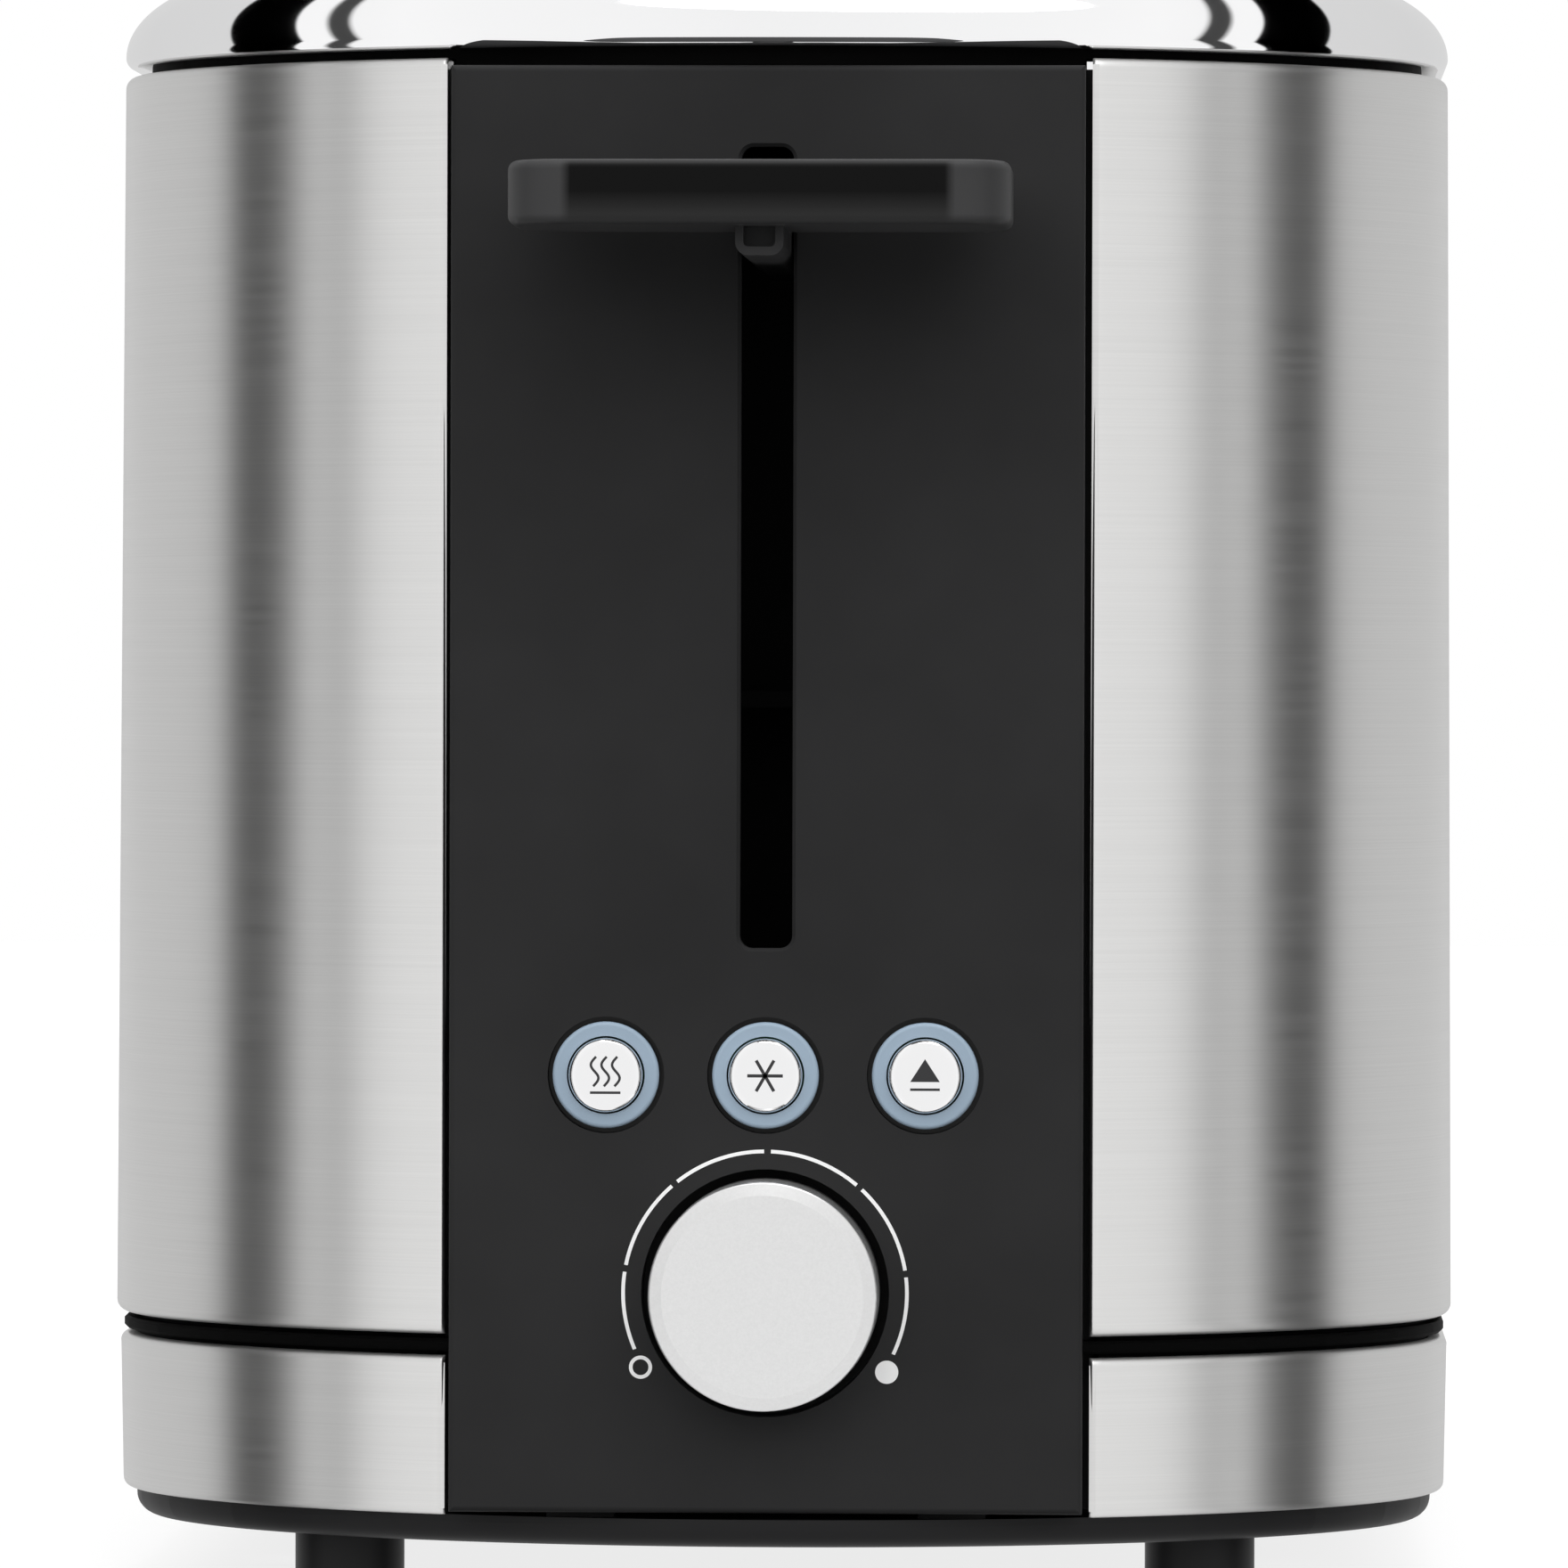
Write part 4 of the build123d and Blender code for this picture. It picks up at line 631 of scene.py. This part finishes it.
def arc(radius, start, end, steps, centre=(0.0, 0.0)):
    """Points on an arc; angles in degrees clockwise from the top."""
    angles = [radians(start + (end - start) * i / steps) for i in range(steps + 1)]
    return [(centre[0] + radius * sin(a), centre[1] + radius * cos(a)) for a in angles]


def circle(radius, centre):
    """Points round a circle, without its first point again at the end."""
    return arc(radius, 0, 360 - 360 / CIRCLE_STEPS, CIRCLE_STEPS - 1, centre)


def printed(name, draw, centre, body, material):
    """Thin printed mark on a face that looks to -Y, drawn in millimetres round its centre."""
    bm = bmesh.new()
    draw(bm)
    grown = bmesh.ops.extrude_face_region(bm, geom=bm.faces[:])
    for vert in grown["geom"]:
        if isinstance(vert, bmesh.types.BMVert):
            vert.co.y -= PRINT_DEPTH
    bmesh.ops.recalc_face_normals(bm, faces=bm.faces[:])
    bmesh.ops.transform(bm, matrix=Matrix.Translation(centre) @ Matrix.Scale(MM, 4), verts=bm.verts[:])
    mesh = bpy.data.meshes.new(name)
    bm.to_mesh(mesh)
    bm.free()
    mesh.materials.append(material)
    piece = bpy.data.objects.new(name, mesh)
    bpy.context.scene.collection.objects.link(piece)
    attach(piece, body)
    return piece


def draw_scale(bm):
    """Browning scale: an arc in six lengths, an open circle at its start and a dot at its end."""
    for first, second in zip(SCALE_STOPS, SCALE_STOPS[1:]):
        start = first if first == SCALE_STOPS[0] else first + SCALE_GAP
        end = second if second == SCALE_STOPS[-1] else second - SCALE_GAP
        strip(bm, arc(SCALE_RADIUS, start + SCALE_TURN, end + SCALE_TURN, ARC_STEPS), SCALE_LINE)
    for side in (-1, 1):
        turn = radians(side * DOT_ANGLE + SCALE_TURN)
        centre = (DOT_PLACE * sin(turn), DOT_PLACE * cos(turn))
        if side < 0:
            strip(bm, circle(DOT_RADIUS - SCALE_LINE / 2, centre), SCALE_LINE, closed=True)
        else:
            patch(bm, circle(DOT_RADIUS, centre))


def draw_heat(bm):
    """Three wavy lines over a straight one."""
    for place in WAVE_PLACES:
        wave = []
        for step in range(WAVE_STEPS + 1):
            turn = 2 * pi * (WAVE_TURNS * step / WAVE_STEPS - WAVE_START)
            wave.append((place - WAVE_SWING * sin(turn), WAVE_TOP - WAVE_HEIGHT * step / WAVE_STEPS))
        strip(bm, wave, SYMBOL_LINE)
    strip(bm, [(-HEAT_LINE_HALF, HEAT_LINE_Z), (HEAT_LINE_HALF, HEAT_LINE_Z)], SYMBOL_LINE)


def draw_frost(bm):
    """Six plain arms."""
    for turn in range(0, 180, 60):
        x = STAR_REACH * cos(radians(turn))
        z = STAR_REACH * sin(radians(turn))
        strip(bm, [(-x, -z), (x, z)], STAR_LINE)


def draw_eject(bm):
    """Solid triangle over a line."""
    patch(bm, [(0.0, TRIANGLE_TOP), (TRIANGLE_HALF, TRIANGLE_FOOT), (-TRIANGLE_HALF, TRIANGLE_FOOT)])
    strip(bm, [(-TRIANGLE_HALF, EJECT_LINE_Z), (TRIANGLE_HALF, EJECT_LINE_Z)], SYMBOL_LINE)


knob_low, knob_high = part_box("browning_knob")
knob_centre = (knob_low + knob_high) / 2
knob_centre.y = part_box("control_panel")[0].y
scale = printed("browning_scale", draw_scale, knob_centre, "housing", INK_WHITE)
for mark, draw in (("reheat", draw_heat), ("defrost", draw_frost), ("cancel", draw_eject)):
    low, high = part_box("button_" + mark)
    face = Vector(((low.x + high.x) / 2, low.y, (low.z + high.z) / 2))
    symbol = printed("symbol_" + mark, draw, face, mark + "_button", INK_DARK)


def studio_floor():
    """Pale floor that keeps a soft shadow of the object; metal reflects the surroundings in its place."""
    half = FLOOR_SIZE / 2
    mesh = bpy.data.meshes.new("floor")
    corners = [(-half, -half, 0), (half, -half, 0), (half, half, 0), (-half, half, 0)]
    mesh.from_pydata(corners, [], [(0, 1, 2, 3)])
    paint = Paint("floor")
    paint.set(Base_Color=(FLOOR_GREY, FLOOR_GREY, FLOOR_GREY, 1.0), Roughness=0.9, Specular_IOR_Level=0.0)
    paint.set(Emission_Color=(1.0, 1.0, 1.0, 1.0))
    path = paint.node("LightPath")
    glow = paint.node("Math", operation="MULTIPLY")
    glow.inputs[1].default_value = FLOOR_GLOW
    paint.link(path.outputs["Is Camera Ray"], glow.inputs[0])
    paint.link(glow.outputs["Value"], paint.shader.inputs["Emission Strength"])
    mirrored = paint.node("Math", operation="MAXIMUM")
    paint.link(path.outputs["Is Glossy Ray"], mirrored.inputs[0])
    paint.link(path.outputs["Is Transmission Ray"], mirrored.inputs[1])
    mix = paint.node("MixShader")
    paint.link(mirrored.outputs["Value"], mix.inputs["Fac"])
    paint.link(paint.shader.outputs["BSDF"], mix.inputs[1])
    paint.link(paint.node("BsdfTransparent").outputs["BSDF"], mix.inputs[2])
    paint.link(mix.outputs["Shader"], paint.tree.nodes["Material Output"].inputs["Surface"])
    mesh.materials.append(paint.material)
    floor = bpy.data.objects.new("floor", mesh)
    bpy.context.scene.collection.objects.link(floor)


def studio_world():
    """Screens with dark gaps, seen in metal; the camera sees white, and dull faces are lit from above."""
    world = bpy.data.worlds.new("studio")
    bpy.context.scene.world = world
    world.use_nodes = True
    tree = world.node_tree
    links = tree.links
    background = tree.nodes["Background"]
    direction = tree.nodes.new("ShaderNodeTexCoord").outputs["Generated"]
    split = tree.nodes.new("ShaderNodeSeparateXYZ")
    links.new(direction, split.inputs["Vector"])

    def math(operation, *values):
        made = tree.nodes.new("ShaderNodeMath")
        made.operation = operation
        for socket, value in zip(made.inputs, values):
            if isinstance(value, (int, float)):
                socket.default_value = value
            else:
                links.new(value, socket)
        return made.outputs["Value"]

    sideways = math("ABSOLUTE", math("ADD", split.outputs["X"], SCREEN_BEARING))
    ahead = math("SUBTRACT", 1.0, split.outputs["Y"])
    lean = math("MULTIPLY", math("ABSOLUTE", split.outputs["Z"]), SCREEN_LEAN / 180.0)
    turn = math("SUBTRACT", math("DIVIDE", math("ARCTAN2", sideways, ahead), pi / 2), lean)

    def graded(value, levels):
        ramp = tree.nodes.new("ShaderNodeValToRGB")
        stops = ramp.color_ramp.elements
        while len(stops) < len(levels):
            stops.new(0.5)
        for stop, (position, level) in zip(stops, levels):
            stop.position = position
            stop.color = (level, level, level, 1.0)
        links.new(value, ramp.inputs["Fac"])
        return ramp.outputs["Color"]

    screens = graded(turn, [(angle / 180.0, level) for angle, level in SURROUND])
    height = math("MULTIPLY_ADD", split.outputs["Z"], 0.5, 0.5)
    overhead = graded(height, [((z + 1.0) / 2, level) for z, level in LIGHT_RISE])
    path = tree.nodes.new("ShaderNodeLightPath")
    seen = tree.nodes.new("ShaderNodeMix")
    seen.data_type = "RGBA"
    links.new(path.outputs["Is Camera Ray"], seen.inputs["Factor"])
    links.new(screens, seen.inputs["A"])
    seen.inputs["B"].default_value = (1.0, 1.0, 1.0, 1.0)
    links.new(seen.outputs["Result"], background.inputs["Color"])
    mirrored = math("MAXIMUM", path.outputs["Is Glossy Ray"], path.outputs["Is Transmission Ray"])
    direct = math("MAXIMUM", path.outputs["Is Camera Ray"], mirrored)
    strength = tree.nodes.new("ShaderNodeMix")
    links.new(direct, strength.inputs["Factor"])
    links.new(overhead, strength.inputs["A"])
    strength.inputs["B"].default_value = 1.0
    links.new(strength.outputs["Result"], background.inputs["Strength"])


def soft_lamp(name, place, target, size, power):
    """Large soft lamp that looks at a target."""
    light = bpy.data.lights.new(name, "AREA")
    light.shape = "DISK"
    light.size = size
    light.energy = power
    lamp = bpy.data.objects.new(name, light)
    lamp.location = place
    lamp.rotation_euler = (Vector(target) - Vector(place)).to_track_quat("-Z", "Y").to_euler()
    bpy.context.scene.collection.objects.link(lamp)


def photo_camera():
    """Camera at the photograph's viewing angle."""
    data = bpy.data.cameras.new("camera")
    data.lens = CAMERA_LENS
    data.sensor_width = SENSOR
    data.clip_end = CAMERA_FAR
    camera = bpy.data.objects.new("camera", data)
    turn = Matrix.Rotation(CAMERA_YAW, 4, "Z") @ Matrix.Rotation(pi / 2 - CAMERA_PITCH, 4, "X")
    camera.matrix_world = Matrix.Translation(CAMERA_PLACE) @ turn @ Matrix.Rotation(CAMERA_ROLL, 4, "Z")
    bpy.context.scene.collection.objects.link(camera)
    bpy.context.scene.camera = camera


studio_floor()
studio_world()
soft_lamp("top_lamp", LAMP_PLACE, LAMP_TARGET, LAMP_SIZE, LAMP_POWER)
photo_camera()
bpy.context.scene.view_settings.view_transform = "Standard"
